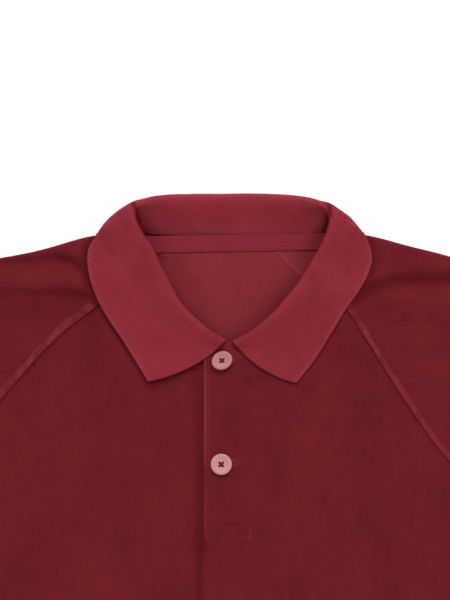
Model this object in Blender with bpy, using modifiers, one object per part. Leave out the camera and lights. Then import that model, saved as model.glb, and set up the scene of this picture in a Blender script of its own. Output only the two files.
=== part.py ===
"""Raglan polo shirt laid flat on its back, front up.

Measures are in millimetres in the garment's plan: x to the viewer's right, y up towards the neck from the
level of the shoulder-neck points, z up from the surface that it lies on. Left and right are the viewer's.
"""

import math

import bpy
import numpy as np

MM = 0.001

# Cloth
CLOTH = 1.6  # wall of the body cloth
RIB = 1.8  # wall of the collar's knitted rib
PLACKET = 2.2  # wall of the folded placket strip
TAPE = 0.8
GAP = 0.3  # between pieces, at seams and where one lies on another

# Outline of the body and sleeves
HEM_Y = -700.0
HEM_X = 266.0
ARMPIT = (262.0, -250.0)
CUFF_TOP = (410.0, -165.0)
CUFF_FOOT = (320.0, -303.0)
NECK_POINT = (73.1, 0.0)  # where the shoulder edge meets the neck
SHOULDER_EDGE = [NECK_POINT, (97.0, -3.4), (122.0, -9.9), (152.0, -17.6), (190.0, -31.0), (250.0, -64.0),
                 (330.0, -113.0), CUFF_TOP]
FOLD_TOP_Y = 26.2  # top of the folded collar
NECK_LEVEL = -(HEM_Y + FOLD_TOP_Y) / 2  # puts the middle of the shirt over the origin

# Seam lines in plan, each from the neck outwards
BACK_NECK_Y = -3.3
FRONT_RAGLAN = {
    "left": [(-64.9, -30.6), (-80.0, -43.2), (-97.0, -56.2), (-113.0, -68.4), (-129.0, -84.2),
             (-143.0, -100.0), (-156.0, -115.5), (-200.0, -174.0), (-236.0, -221.0), (-262.0, -250.0)],
    "right": [(64.9, -30.6), (80.0, -53.5), (98.0, -81.8), (110.4, -102.0), (125.0, -124.0), (134.2, -137.4),
              (147.0, -153.8), (182.0, -194.0), (220.0, -226.0), (262.0, -250.0)],
}
BACK_RAGLAN = {
    "left": [(-30.0, BACK_NECK_Y), (-44.5, -18.4), (-110.0, -88.0), (-185.0, -168.0), (-262.0, -250.0)],
    "right": [(22.0, BACK_NECK_Y), (46.6, -29.2), (110.0, -94.5), (185.0, -171.5), (262.0, -250.0)],
}
FRONT_NECK = [(-64.9, -30.6), (-58.8, -41.2), (-49.3, -54.0), (-31.0, -69.0), (-16.0, -75.6), (0.0, -75.9),
              (16.0, -75.6), (31.0, -69.0), (49.3, -54.0), (58.8, -41.2), (64.9, -30.6)]

# Placket: the strip on top has its free edge on the left
SLIT_LEFT, SLIT_RIGHT = -16.9, 13.9
SLIT_FOOT_Y = -207.4
PLACKET_FOOT = 9.0  # length over which the strip is stitched down flat at its foot
PLACKET_STEP = (6.0, 12.9)  # x over which the top strip comes down past the edge of the under one
PLACKET_MARGIN = (4.0, 18.0)  # outside it, where the collar comes down to the front again
SIDE_ROWS_DROP = 110.0  # the front's lower rows start this much lower at its sides
UNDER_RIGHT = 4.5
UNDER_FOOT_Y = -194.0
TAPE_TOP_Y, TAPE_FOOT_Y, TAPE_END_X = -3.0, -13.0, 66.0

# Heights
LOFT = 2.5  # how far the front layer stands off the back one
SHOULDER_ROLL = (2 * CLOTH + GAP + LOFT) / 2
EDGE_SOFTNESS = 9.0  # distance over which the layers close at the side seams
SHOULDER_SOFTNESS = 14.0  # distance over which folds fade out at the shoulder
FACETS = 0.3  # added to the gap where one faceted wall lies on another
FALL_RISE = RIB + GAP + FACETS  # the back lies this much higher on the collar's fall
FALL_HALF_WIDTH, FALL_DEPTH, FALL_CORNER = 96.0, 27.0, 14.0
FALL_SLOPE = 15.0

# Largest folds of the front layer: soft ridges from one end to the other, in plan
RIDGES = [
    # x0, y0, x1, y1, half width, height
    (-104, -38, -185, -52, 11, 3.0),
    (108, -44, 190, -62, 12, 2.8),
    (128, -58, 132, -96, 8, 1.4),
    (-32, -110, -30, -330, 16, 1.8),
    (40, -120, 190, -215, 30, 1.6),
    (-60, -150, -215, -235, 26, 1.8),
    (-205, -290, -120, -470, 24, 2.6),
    (215, -300, 150, -500, 26, 3.0),
    (-60, -430, -85, -690, 26, 3.2),
    (70, -470, 60, -690, 28, 2.4),
    (-190, -520, -175, -690, 22, 2.6),
    (185, -560, 190, -690, 20, 3.0),
    (-215, -95, -345, -185, 20, 3.0),
    (-262, -190, -335, -245, 16, 2.2),
    (205, -92, 350, -192, 19, 2.6),
    (255, -185, 330, -250, 17, 2.6),
]

# Collar: a strip of rib from the neck seam over the roll to its free edge. A row is a section across it,
# from the left front end round the back to the right front end. The roll leaves the fold at a heading
# and pitch, and the free edge is reached at its own.
COLLAR_COLUMNS = ("seam_x", "seam_y", "fold_x", "fold_y", "fold_z", "fold_heading", "fold_pitch",
                  "edge_x", "edge_y", "edge_z", "edge_heading", "edge_pitch")
COLLAR_ROWS = [
    (-9.0, -75.6, -4.4, -75.4, 12.4, 225, 0, -55.1, -101.2, 7.8, 191, 0),
    (-21.5, -72.6, -19.8, -66.8, 12.8, 219, 0, -65.0, -85.0, 7.8, 204, 0),
    (-36.8, -63.8, -34.6, -53.2, 14.0, 212, 0, -74.4, -70.2, 7.8, 204, 0),
    (-51.2, -49.2, -45.0, -35.8, 16.0, 209, 0, -86.0, -53.8, 7.9, 204, 0),
    (-61.8, -33.2, -54.0, -17.4, 19.0, 207, 0, -94.0, -36.5, 8.2, 204, 0),
    (-67.0, -20.0, -60.6, -5.4, 21.2, 204, -2, -96.7, -20.5, 8.8, 203, -4),
    (-69.0, -11.6, -63.8, 0.4, 22.0, 197, -4, -95.4, -10.4, 9.2, 209, -22),
    (-69.9, -6.6, -65.6, 4.6, 22.0, 186, -7, -91.0, -4.4, 7.4, 226, -58),
    (-70.0, -4.6, -66.5, 7.8, 21.6, 174, -12, -88.0, -0.8, 3.6, 246, -72),
    (-69.6, -3.2, -67.4, 11.4, 19.8, 164, -20, -85.8, -4.4, 1.0, 266, -14),
    (-64.0, -1.8, -67.6, 16.4, 14.0, 146, -42, -81.0, -13.4, 0.9, 270, 0),
    (-50.0, -2.0, -60.2, 20.8, 7.2, 122, -66, -68.0, -19.5, 0.9, 266, 0),
    (-30.0, -2.2, -36.0, 24.4, 3.4, 96, -87, -40.0, -21.8, 0.9, 267, 0),
    (0.0, -2.2, 3.0, 25.3, 2.9, 90, -90, 3.0, -21.8, 0.9, 270, 0),
    (30.0, -2.2, 37.0, 24.4, 3.4, 84, -87, 41.0, -21.8, 0.9, 273, 0),
    (50.0, -2.0, 61.4, 20.8, 7.2, 58, -66, 69.0, -19.5, 0.9, 274, 0),
    (64.0, -1.8, 70.1, 14.8, 14.0, 34, -42, 81.0, -13.4, 0.9, 270, 0),
    (69.6, -3.2, 70.9, 9.4, 19.8, 16, -20, 86.4, -4.4, 1.0, 274, -14),
    (70.0, -4.6, 70.3, 5.4, 21.6, 6, -12, 88.8, -0.8, 3.6, 294, -72),
    (69.9, -6.6, 69.2, 1.4, 22.0, -6, -7, 92.6, -2.8, 7.6, 316, -56),
    (69.0, -11.6, 67.6, -3.4, 22.0, -17, -4, 96.0, -9.6, 9.2, 331, -22),
    (67.0, -20.0, 64.2, -10.4, 21.4, -24, -2, 97.2, -21.0, 8.8, 335, -4),
    (61.8, -33.2, 57.6, -22.0, 20.0, -29, 0, 91.2, -35.4, 8.2, 334, 0),
    (51.2, -49.2, 46.9, -39.0, 18.5, -32, 0, 79.6, -52.4, 7.9, 334, 0),
    (36.8, -63.8, 34.5, -55.6, 16.0, -35, 0, 67.4, -71.8, 7.8, 335, 0),
    (21.5, -72.6, 20.5, -67.6, 13.4, -42, 0, 56.6, -88.0, 7.8, 338, 0),
    (9.0, -75.9, 3.4, -76.6, 12.4, -48, 0, 45.2, -102.3, 7.8, 348, 0),
]
# Its section on the front, and behind the neck where the fall is tucked under
RADIUS_IN = (3.4, 1.9)  # of the roll, on the stand's side
RADIUS_OUT = (9.0, 1.9)  # of the roll, on the fall's side
TURN_OUT = (24.0, 90.0)  # degrees that the outer roll turns through
STAND_RISE = (50.0, 8.0)  # degrees at which the stand leaves the seam
STAND_HANDLES = (0.35, 0.3)  # shares of its reach that shape the stand
LEAF_HANDLE_OUT = (0.3, 0.41)  # the same for the fall: lying flat, and turning over the shoulder
LEAF_HANDLE_IN = (0.36, 0.64)
COLLAR_SECTIONS = 79
STAND_CELLS, ROLL_IN_CELLS, ROLL_OUT_CELLS, LEAF_CELLS = 3, 2, 3, 6

# Buttons
BUTTON_WIDTH = 14.5
BUTTON_HEIGHT = 2.6
BUTTON_HOLE = 0.8  # radius of a thread hole
BUTTON_HOLE_PITCH = 1.25  # from the middle, in x and y
BUTTON_PROFILE = [
    # shares of its radius and of its height, from the dished middle over the rim to the foot
    (0, 0.62), (0.52, 0.62), (0.72, 0.92), (0.86, 1.0), (0.97, 0.8),
    (1.0, 0.5), (0.9, 0.1), (0.6, 0.0), (0, 0.0),
]
BUTTONS = [
    # name, x, y, tilt forward in degrees
    ("button_1", -5.2, -87.5, 20.0),
    ("button_2", -5.6, -157.8, 0.0),
]

# Colours, as linear RGB
BURGUNDY = (0.148, 0.0130, 0.0210)
RIB_RED = (0.235, 0.0230, 0.0370)
TAPE_RED = (0.205, 0.0200, 0.0330)
BUTTON_PINK = (0.560, 0.270, 0.275)


# ---------------------------------------------------------------- curves


def spline_rows(rows, count):
    """Rows of a smooth curve through a table's rows, evenly spaced in row number."""
    rows = np.asarray(rows, float)
    padded = np.vstack([2 * rows[0] - rows[1], rows, 2 * rows[-1] - rows[-2]])
    place = np.linspace(0, len(rows) - 1, count)
    first = np.minimum(place.astype(int), len(rows) - 2)
    t = (place - first)[:, None]
    a, b, c, d = (padded[first + step] for step in range(4))
    return 0.5 * (2 * b + (c - a) * t + (2 * a - 5 * b + 4 * c - d) * t**2 + (3 * b - a - 3 * c + d) * t**3)


def fine_curve(points):
    return spline_rows(points, 24 * (len(points) - 1) + 1)


def at_shares(line, shares):
    """Points at the given shares of a polyline's length."""
    steps = np.linalg.norm(np.diff(line, axis=0), axis=1)
    along = np.concatenate([[0.0], np.cumsum(steps)]) / steps.sum()
    return np.stack([np.interp(shares, along, line[:, k]) for k in range(line.shape[1])], axis=-1)


def side_normals(line):
    """Unit normals in plan, to the left of the way along a polyline."""
    way = np.gradient(line, axis=0)
    way /= np.linalg.norm(way, axis=1, keepdims=True)
    return np.stack([-way[:, 1], way[:, 0]], axis=-1)


def unit(vectors):
    return vectors / np.linalg.norm(vectors, axis=-1, keepdims=True)


def direction(heading, pitch):
    """Unit vectors from headings anticlockwise from +x and pitches above level, in degrees."""
    heading, pitch = np.radians(heading), np.radians(pitch)
    level = np.cos(pitch)
    return np.stack([level * np.cos(heading), level * np.sin(heading), np.sin(pitch)], axis=-1)


def bezier(start, way_out, way_in, end, cells):
    """Points of a cubic from start to end for each section, without its first point."""
    t = np.linspace(0, 1, cells + 1)[1:, None, None]
    return (1 - t) ** 3 * start + 3 * (1 - t) ** 2 * t * way_out + 3 * (1 - t) * t**2 * way_in + t**3 * end


def smoothstep(low, high, value):
    t = np.clip((value - low) / (high - low), 0.0, 1.0)
    return t * t * (3.0 - 2.0 * t)


def distance_to(line, x, y):
    """Distance in plan from places to a polyline."""
    nearest = np.full(np.shape(x), np.inf)
    for (ax, ay), (bx, by) in zip(line[:-1], line[1:]):
        span = (bx - ax) ** 2 + (by - ay) ** 2
        along = np.clip(((x - ax) * (bx - ax) + (y - ay) * (by - ay)) / span, 0.0, 1.0)
        nearest = np.minimum(nearest, np.hypot(x - ax - along * (bx - ax), y - ay - along * (by - ay)))
    return nearest


# ---------------------------------------------------------------- the two layers


def fall_distance(x, y):
    """Distance in plan outside the collar's fall, which lies under the back."""
    across = np.maximum(np.abs(x) - (FALL_HALF_WIDTH - FALL_CORNER), 0.0)
    down = np.maximum(-y - (FALL_DEPTH - FALL_CORNER), 0.0)
    return np.hypot(across, down) - FALL_CORNER


def back_height(x, y):
    """Underside of the back layer."""
    return FALL_RISE * (1.0 - smoothstep(1.0, FALL_SLOPE, fall_distance(x, y)))


def front_height(x, y):
    """Upper side of the front layer."""
    mirrored = np.abs(x)
    closed_edge = [CUFF_FOOT, ARMPIT, (HEM_X, HEM_Y)]
    closing = 1.0 - np.exp(-((distance_to(closed_edge, mirrored, y) / EDGE_SOFTNESS) ** 2))
    off_shoulder = 1.0 - np.exp(-((distance_to(SHOULDER_EDGE, mirrored, y) / SHOULDER_SOFTNESS) ** 2))
    ridges = np.zeros(np.shape(x))
    for x0, y0, x1, y1, half_width, height in RIDGES:
        away = distance_to([(x0, y0), (x1, y1)], x, y)
        ridges += height * np.exp(-((away / half_width) ** 2))
    return back_height(x, y) + 2 * CLOTH + GAP + closing * (LOFT + off_shoulder * ridges)


def front_top_y(x):
    """Upper edge of the front panel: raglan seam, neckline, raglan seam."""
    left = fine_curve(FRONT_RAGLAN["left"])[::-1]
    line = np.vstack([left, fine_curve(FRONT_NECK), fine_curve(FRONT_RAGLAN["right"])])
    return np.interp(x, line[:, 0], line[:, 1])


def back_top_y(x):
    left = fine_curve(BACK_RAGLAN["left"])[::-1]
    line = np.vstack([left, fine_curve(BACK_RAGLAN["right"])])
    return np.interp(x, line[:, 0], line[:, 1])


def placket_lift(x, y):
    """How far the upper side of the top placket stands above the front panel."""
    over = 1.0 - smoothstep(*PLACKET_STEP, x)
    foot = smoothstep(SLIT_FOOT_Y, SLIT_FOOT_Y + PLACKET_FOOT, y)
    return (GAP + PLACKET) * over * foot


def front_ground(x, y):
    """What the collar's leaves lie on: the front layer, and the placket with a margin round it."""
    near = 1.0 - smoothstep(*PLACKET_MARGIN, np.maximum(SLIT_LEFT - x, x - SLIT_RIGHT))
    return front_height(x, y) + (GAP + PLACKET) * near


# ---------------------------------------------------------------- objects


def material(name, colour, roughness, sheen=0.0):
    made = bpy.data.materials.new(name)
    made.use_nodes = True
    shader = made.node_tree.nodes["Principled BSDF"]
    shader.inputs["Base Color"].default_value = (*colour, 1.0)
    shader.inputs["Roughness"].default_value = roughness
    shader.inputs["Sheen Weight"].default_value = sheen
    return made


def add_object(name, mesh, finish, collection, parent):
    made = bpy.data.objects.new(name, mesh)
    mesh.materials.append(finish)
    mesh.shade_smooth()
    collection.objects.link(made)
    made.parent = parent
    return made


def cloth_piece(name, points, wall, finish, collection, parent, side=-1.0, left_out=None):
    """A grid of points in millimetres as an open sheet with a wall. side -1 puts the wall behind it."""
    rows, columns = points.shape[:2]
    faces = []
    for row in range(rows - 1):
        for column in range(columns - 1):
            if left_out is not None and left_out(row, column):
                continue
            corner = row * columns + column
            faces.append((corner, corner + columns, corner + columns + 1, corner + 1))
    used = sorted({corner for face in faces for corner in face})
    number = {corner: count for count, corner in enumerate(used)}
    mesh = bpy.data.meshes.new(name)
    corners = (points.reshape(-1, 3)[used] * MM).tolist()
    mesh.from_pydata(corners, [], [[number[corner] for corner in face] for face in faces])
    made = add_object(name, mesh, finish, collection, parent)
    solid = made.modifiers.new("wall", "SOLIDIFY")
    solid.thickness = wall * MM
    solid.offset = side
    return made


def stations(breaks, counts):
    """Places from break to break, each stretch split evenly."""
    parts = [np.linspace(a, b, count, endpoint=False) for a, b, count in zip(breaks, breaks[1:], counts)]
    return np.concatenate([*parts, [breaks[-1]]])


# ---------------------------------------------------------------- pieces


def front_points():
    """Front panel's upper side, rows from the top edge down, and the cells that the slit leaves out."""
    junction = FRONT_NECK[-1][0]
    breaks = [-ARMPIT[0], -junction, SLIT_LEFT, SLIT_RIGHT, junction, ARMPIT[0]]
    counts = [12, 7, 3, 7, 12]
    x_top = stations(breaks, counts)
    x_hem = x_top * HEM_X / ARMPIT[0]
    slit = slice(counts[0] + counts[1], counts[0] + counts[1] + counts[2] + 1)
    x_hem[slit] = x_top[slit]
    middle_y = SLIT_FOOT_Y - SIDE_ROWS_DROP * smoothstep(SLIT_RIGHT + 16.0, ARMPIT[0], np.abs(x_top))
    upper, lower = 9, 9
    shares = np.linspace(0, 1, upper + 1)[:, None]
    top_y = front_top_y(x_top)
    y = np.vstack([top_y + shares * (middle_y - top_y),
                   middle_y + np.linspace(0, 1, lower + 1)[1:, None] * (HEM_Y - middle_y)])
    drop = (y - ARMPIT[1]) / (HEM_Y - ARMPIT[1])
    x = x_top + np.clip(drop, 0.0, 1.0) * (x_hem - x_top)

    def in_slit(row, column):
        return row < upper and slit.start <= column < slit.stop - 1

    return np.stack([x, y, front_height(x, y)], axis=-1), in_slit


def back_points():
    """Back panel's underside, which rests on the surface, rows from the hem up."""
    breaks = [-ARMPIT[0], -90.0, BACK_RAGLAN["left"][0][0], BACK_RAGLAN["right"][0][0], 90.0, ARMPIT[0]]
    x_top = stations(breaks, [7, 5, 4, 5, 7])
    x_hem = x_top * HEM_X / ARMPIT[0]
    drops = stations([0.0, 28.0, 60.0, BACK_NECK_Y - HEM_Y], [5, 3, 9])[::-1, None]
    shares = drops / (BACK_NECK_Y - HEM_Y)
    top_y = back_top_y(x_top)
    y = top_y + shares * (HEM_Y - top_y)
    drop = np.clip((y - ARMPIT[1]) / (HEM_Y - ARMPIT[1]), 0.0, 1.0)
    x = x_top + drop * (x_hem - x_top)
    return np.stack([x, y, back_height(x, y)], axis=-1)


def patch(top, foot, start, end, s, t):
    along = (1 - t) * top[None] + t * foot[None]
    across = (1 - s) * start[:, None] + s * end[:, None]
    corners = ((1 - s) * (1 - t) * top[0] + s * (1 - t) * top[-1] + (1 - s) * t * foot[0] + s * t * foot[-1])
    return along + across - corners


def sleeve_points(side):
    """Sleeve's outer side, from the front raglan edge over the shoulder fold to the back one."""
    sign = -1.0 if side == "left" else 1.0
    armpit_share = 0.8
    s = stations([0.0, 0.09, 0.3, armpit_share, 1.0], [5, 5, 6, 3])
    mirror = np.array([sign, 1.0])

    edge = fine_curve(SHOULDER_EDGE)
    inset = edge - SHOULDER_ROLL * side_normals(edge)
    shoulder = at_shares(inset, s) * mirror
    outward = at_shares(side_normals(edge), s) * mirror

    def foot_line(raglan):
        """Raglan seam and then underarm, moved a gap into the sleeve."""
        seam = fine_curve(raglan)
        under = np.linspace(ARMPIT, CUFF_FOOT, 12) * mirror
        line = np.vstack([at_shares(seam, s[s <= armpit_share] / armpit_share),
                          at_shares(under, (s[s > armpit_share] - armpit_share) / (1 - armpit_share))])
        return line + GAP * sign * side_normals(line)

    front_foot, back_foot = foot_line(FRONT_RAGLAN[side]), foot_line(BACK_RAGLAN[side])
    t = np.linspace(0, 1, 10)
    start_front = shoulder[0] + t[:, None] * (front_foot[0] - shoulder[0])
    start_back = shoulder[0] + t[:, None] * (back_foot[0] - shoulder[0])
    cuff_front = shoulder[-1] + t[:, None] * (front_foot[-1] - shoulder[-1])
    cuff_back = shoulder[-1] + t[:, None] * (back_foot[-1] - shoulder[-1])
    grid_s, grid_t = s[None, :, None], t[:, None, None]
    front = patch(shoulder, front_foot, start_front, cuff_front, grid_s, grid_t)
    back = patch(shoulder, back_foot, start_back, cuff_back, grid_s, grid_t)

    def lifted(layer, height):
        return np.concatenate([layer, height(layer[..., 0], layer[..., 1])[..., None]], axis=-1)

    front, back = lifted(front, front_height), lifted(back, back_height)
    turn = np.linspace(90, -90, 7)[1:-1]
    roll = [
        np.concatenate([shoulder + SHOULDER_ROLL * math.cos(math.radians(angle)) * outward,
                        (back[0, :, 2:] + SHOULDER_ROLL * (1 + math.sin(math.radians(angle))))], axis=-1)
        for angle in turn
    ]
    points = np.concatenate([front[::-1], np.array(roll), back])
    return points[:, ::-1] if side == "right" else points


def collar_points():
    """Middle of the collar's wall, sections along the neck by places across the strip."""
    row = dict(zip(COLLAR_COLUMNS, spline_rows(COLLAR_ROWS, COLLAR_SECTIONS).T))
    on_back = smoothstep(-4.4, -1.9, row["seam_y"])
    over_placket = front_ground(row["seam_x"], row["seam_y"]) - CLOTH / 2
    under = back_height(row["seam_x"], row["seam_y"]) + CLOTH / 2
    seam_z = over_placket + on_back * (under - over_placket)
    seam = np.stack([row["seam_x"], row["seam_y"], seam_z], axis=-1)
    fold = np.stack([row["fold_x"], row["fold_y"], row["fold_z"]], axis=-1)
    edge = np.stack([row["edge_x"], row["edge_y"], row["edge_z"]], axis=-1)

    roll_way = direction(row["fold_heading"], row["fold_pitch"])
    along = unit(np.gradient(fold, axis=0))
    inward = unit(np.cross(roll_way, along))
    tuck = (-row["fold_pitch"] / 90.0)[:, None]  # 0 on the front, 1 where the fall is tucked under
    radius_in, radius_out, turn_out, rise = (
        front + tuck * (behind - front) for front, behind in (RADIUS_IN, RADIUS_OUT, TURN_OUT, STAND_RISE)
    )
    turn_out, rise = np.radians(turn_out), np.radians(rise)

    def on_roll(radius, turn):
        place = fold + radius * (np.sin(turn) * roll_way + (1 - np.cos(turn)) * inward)
        return place, np.cos(turn) * roll_way + np.sin(turn) * inward

    lines = [seam[None]]
    start, start_way = on_roll(radius_in, np.full_like(tuck, -math.pi / 2))
    reach = np.linalg.norm(start - seam, axis=-1, keepdims=True)
    level = unit((start - seam) * [1, 1, 0])
    seam_way = np.cos(rise) * level + np.sin(rise) * np.array([0, 0, 1.0])
    lines.append(bezier(seam, seam + STAND_HANDLES[0] * reach * seam_way,
                        start - STAND_HANDLES[1] * reach * start_way, start, STAND_CELLS))
    for step in range(1, ROLL_IN_CELLS + 1):
        turn = np.full_like(tuck, -math.pi / 2) * (1 - step / ROLL_IN_CELLS)
        lines.append(on_roll(radius_in, turn)[0][None])
    for step in range(1, ROLL_OUT_CELLS + 1):
        lines.append(on_roll(radius_out, turn_out * step / ROLL_OUT_CELLS)[0][None])
    leave, leave_way = on_roll(radius_out, turn_out)
    reach = np.linalg.norm(edge - leave, axis=-1, keepdims=True)
    bulge = 4 * tuck * (1 - tuck)  # fullest where the leaf turns over the shoulder
    edge_way = direction(row["edge_heading"], row["edge_pitch"])
    handle_out, handle_in = (
        plain + bulge * (full - plain) for plain, full in (LEAF_HANDLE_OUT, LEAF_HANDLE_IN)
    )
    leaf = bezier(leave, leave + handle_out * reach * leave_way,
                  edge - handle_in * reach * edge_way, edge, LEAF_CELLS)
    points = np.concatenate([*lines, leaf])
    return lie_on_front(points, 1 + STAND_CELLS + ROLL_IN_CELLS)


def lie_on_front(points, first):
    """Lifts the leaves, from place first on, clear of the front and round the shoulders that they lie on."""
    x, y, z = (points[first:, :, axis] for axis in range(3))
    shoulder = fine_curve(SHOULDER_EDGE)
    axis_y = np.interp(np.abs(x), shoulder[:, 0], shoulder[:, 1]) - SHOULDER_ROLL
    axis_z = back_height(x, y) + SHOULDER_ROLL
    standoff = GAP + RIB / 2 + FACETS
    inside = y < axis_y
    z = np.where(inside & (z > axis_z), np.maximum(z, front_ground(x, y) + standoff), z)
    z = np.where(inside & (z <= axis_z), RIB / 2, z)
    away = np.hypot(y - axis_y, z - axis_z)
    near = ~inside & (np.abs(x) > NECK_POINT[0]) & (away < SHOULDER_ROLL + standoff)
    push = np.where(near, (SHOULDER_ROLL + standoff) / away, 1.0)
    points[first:, :, 1] = axis_y + push * (y - axis_y)
    points[first:, :, 2] = np.maximum(axis_z + push * (z - axis_z), RIB / 2)
    return points


def placket_top_points():
    x = stations([SLIT_LEFT + GAP, UNDER_RIGHT, SLIT_RIGHT - GAP], [4, 5])
    shares = stations([0.0, 0.9, 1.0], [8, 5])[:, None]
    top_y = front_top_y(x) - GAP / 2
    y = top_y + shares * (SLIT_FOOT_Y + GAP - top_y)
    x = np.broadcast_to(x, y.shape)
    return np.stack([x, y, front_height(x, y) + placket_lift(x, y)], axis=-1)


def placket_under_points():
    x = np.linspace(SLIT_LEFT + GAP, UNDER_RIGHT, 5)
    top_y = front_top_y(x) - GAP / 2
    y = top_y + np.linspace(0, 1, 10)[:, None] * (UNDER_FOOT_Y - top_y)
    x = np.broadcast_to(x, y.shape)
    return np.stack([x, y, front_height(x, y)], axis=-1)


def tape_points():
    """Upper side of the neck tape, on the inside of the back."""
    x = np.linspace(-TAPE_END_X, TAPE_END_X, 23)
    y = np.linspace(TAPE_TOP_Y, TAPE_FOOT_Y, 4)[:, None] + 0.0 * x
    x = np.broadcast_to(x, y.shape)
    return np.stack([x, y, back_height(x, y) + CLOTH + GAP + TAPE], axis=-1)


def add_button(name, x, y, tilt, finish, collection, cutters, parent):
    """A turned four-hole button, its foot on the placket."""
    half, height = BUTTON_WIDTH / 2, BUTTON_HEIGHT
    mesh = bpy.data.meshes.new(name)
    points = [(out * half * MM, 0.0, up * height * MM) for out, up in BUTTON_PROFILE]
    mesh.from_pydata(points, [(i, i + 1) for i in range(len(points) - 1)], [])
    button = add_object(name, mesh, finish, collection, parent)
    turned = button.modifiers.new("turned", "SCREW")
    turned.angle = 2 * math.pi
    turned.steps = turned.render_steps = 20
    turned.use_merge_vertices = True
    turned.merge_threshold = 0.00001
    sink = half * math.sin(math.radians(tilt))
    ground = front_height(np.array(x), np.array(y)) + placket_lift(np.array(x), np.array(y))
    button.location = (x * MM, y * MM, (float(ground) + GAP + sink) * MM)
    button.rotation_euler = (math.radians(-tilt), 0.0, 0.0)
    for count, (right, up) in enumerate([(-1, -1), (1, -1), (1, 1), (-1, 1)], start=1):
        bpy.ops.mesh.primitive_cylinder_add(vertices=6, radius=BUTTON_HOLE * MM, depth=3 * height * MM)
        hole = bpy.context.object
        hole.name = f"{name}_hole_{count}"
        for holder in list(hole.users_collection):
            holder.objects.unlink(hole)
        cutters.objects.link(hole)
        hole.parent = button
        hole.location = (right * BUTTON_HOLE_PITCH * MM, up * BUTTON_HOLE_PITCH * MM, height / 2 * MM)
        hole.hide_render = True
        hole.display_type = "WIRE"
        cut = button.modifiers.new(f"hole_{count}", "BOOLEAN")
        cut.operation = "DIFFERENCE"
        cut.solver = "EXACT"
        cut.object = hole
    return button


def main():
    for thing in list(bpy.data.objects):
        bpy.data.objects.remove(thing, do_unlink=True)
    parts = bpy.data.collections.new("polo_shirt")
    cutters = bpy.data.collections.new("polo_shirt_cutters")
    for collection in (parts, cutters):
        bpy.context.scene.collection.children.link(collection)
    garment = bpy.data.objects.new("garment", None)
    garment.location = (0.0, NECK_LEVEL * MM, 0.0)
    parts.objects.link(garment)

    body = material("burgundy_knit", BURGUNDY, 0.9, 0.5)
    rib = material("burgundy_rib", RIB_RED, 0.85, 0.3)
    tape = material("burgundy_tape", TAPE_RED, 0.8)
    pink = material("pink_button", BUTTON_PINK, 0.35)

    front, in_slit = front_points()
    cloth_piece("front", front, CLOTH, body, parts, garment, left_out=in_slit)
    cloth_piece("back", back_points(), CLOTH, body, parts, garment)
    for side in ("left", "right"):
        cloth_piece(f"sleeve_{side}", sleeve_points(side), CLOTH, body, parts, garment)
    cloth_piece("collar", collar_points(), RIB, rib, parts, garment, side=0.0)
    cloth_piece("placket_top", placket_top_points(), PLACKET, body, parts, garment)
    cloth_piece("placket_under", placket_under_points(), CLOTH, body, parts, garment)
    cloth_piece("neck_tape", tape_points(), TAPE, tape, parts, garment)
    for name, x, y, tilt in BUTTONS:
        add_button(name, x, y, tilt, pink, parts, cutters, garment)


main()
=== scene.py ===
"""Looks of the raglan polo shirt, laid flat on its back. Measures are in millimetres in the garment's plan:
x to the viewer's right, y up towards the neck, z up. Left and right are the viewer's."""

import math

import bpy
import numpy as np
from mathutils import Matrix


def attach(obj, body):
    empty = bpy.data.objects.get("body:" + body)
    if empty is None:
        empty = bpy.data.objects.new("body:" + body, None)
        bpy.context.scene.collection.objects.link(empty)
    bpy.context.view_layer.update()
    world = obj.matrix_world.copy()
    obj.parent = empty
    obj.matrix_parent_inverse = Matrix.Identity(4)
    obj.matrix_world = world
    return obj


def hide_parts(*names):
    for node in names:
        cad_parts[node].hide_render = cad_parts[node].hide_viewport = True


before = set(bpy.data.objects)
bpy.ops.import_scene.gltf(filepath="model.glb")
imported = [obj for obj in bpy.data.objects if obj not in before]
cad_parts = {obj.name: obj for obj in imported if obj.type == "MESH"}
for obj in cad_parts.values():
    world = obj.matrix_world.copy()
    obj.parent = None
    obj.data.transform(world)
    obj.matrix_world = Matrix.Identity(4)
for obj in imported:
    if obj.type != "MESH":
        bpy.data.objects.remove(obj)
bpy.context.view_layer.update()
MM = 0.001

# ---- sizes shared with the solids

CLOTH, RIB, PLACKET, TAPE, GAP = 1.6, 1.8, 2.2, 0.8, 0.3
HEM_Y, HEM_X = -700, 266
ARMPIT, CUFF_TOP, CUFF_FOOT, NECK_POINT = (262, -250), (410, -165), (320, -303), (73.1, 0)
SHOULDER_EDGE = [NECK_POINT, (97, -3.4), (122, -9.9), (152, -17.6), (190, -31), (250, -64),
                 (330, -113), CUFF_TOP]
FOLD_TOP_Y = 26.2
NECK_LEVEL = -(HEM_Y + FOLD_TOP_Y) / 2
BACK_NECK_Y = -3.3
FRONT_RAGLAN = {
    "left": [(-64.9, -30.6), (-80, -43.2), (-97, -56.2), (-113, -68.4), (-129, -84.2),
             (-143, -100), (-156, -115.5), (-200, -174), (-236, -221), (-262, -250)],
    "right": [(64.9, -30.6), (80, -53.5), (98, -81.8), (110.4, -102), (125, -124), (134.2, -137.4),
              (147, -153.8), (182, -194), (220, -226), (262, -250)],
}
BACK_RAGLAN = {
    "left": [(-30, BACK_NECK_Y), (-44.5, -18.4), (-110, -88), (-185, -168), (-262, -250)],
    "right": [(22, BACK_NECK_Y), (46.6, -29.2), (110, -94.5), (185, -171.5), (262, -250)],
}
FRONT_NECK = [(-64.9, -30.6), (-58.8, -41.2), (-49.3, -54), (-31, -69), (-16, -75.6), (0, -75.9),
              (16, -75.6), (31, -69), (49.3, -54), (58.8, -41.2), (64.9, -30.6)]
SLIT_LEFT, SLIT_RIGHT, SLIT_FOOT_Y = -16.9, 13.9, -207.4
PLACKET_MARGIN = (4, 18)  # the ground falls from the placket's height to the front's over this
UNDER_RIGHT, UNDER_FOOT_Y = 4.5, -194
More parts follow.
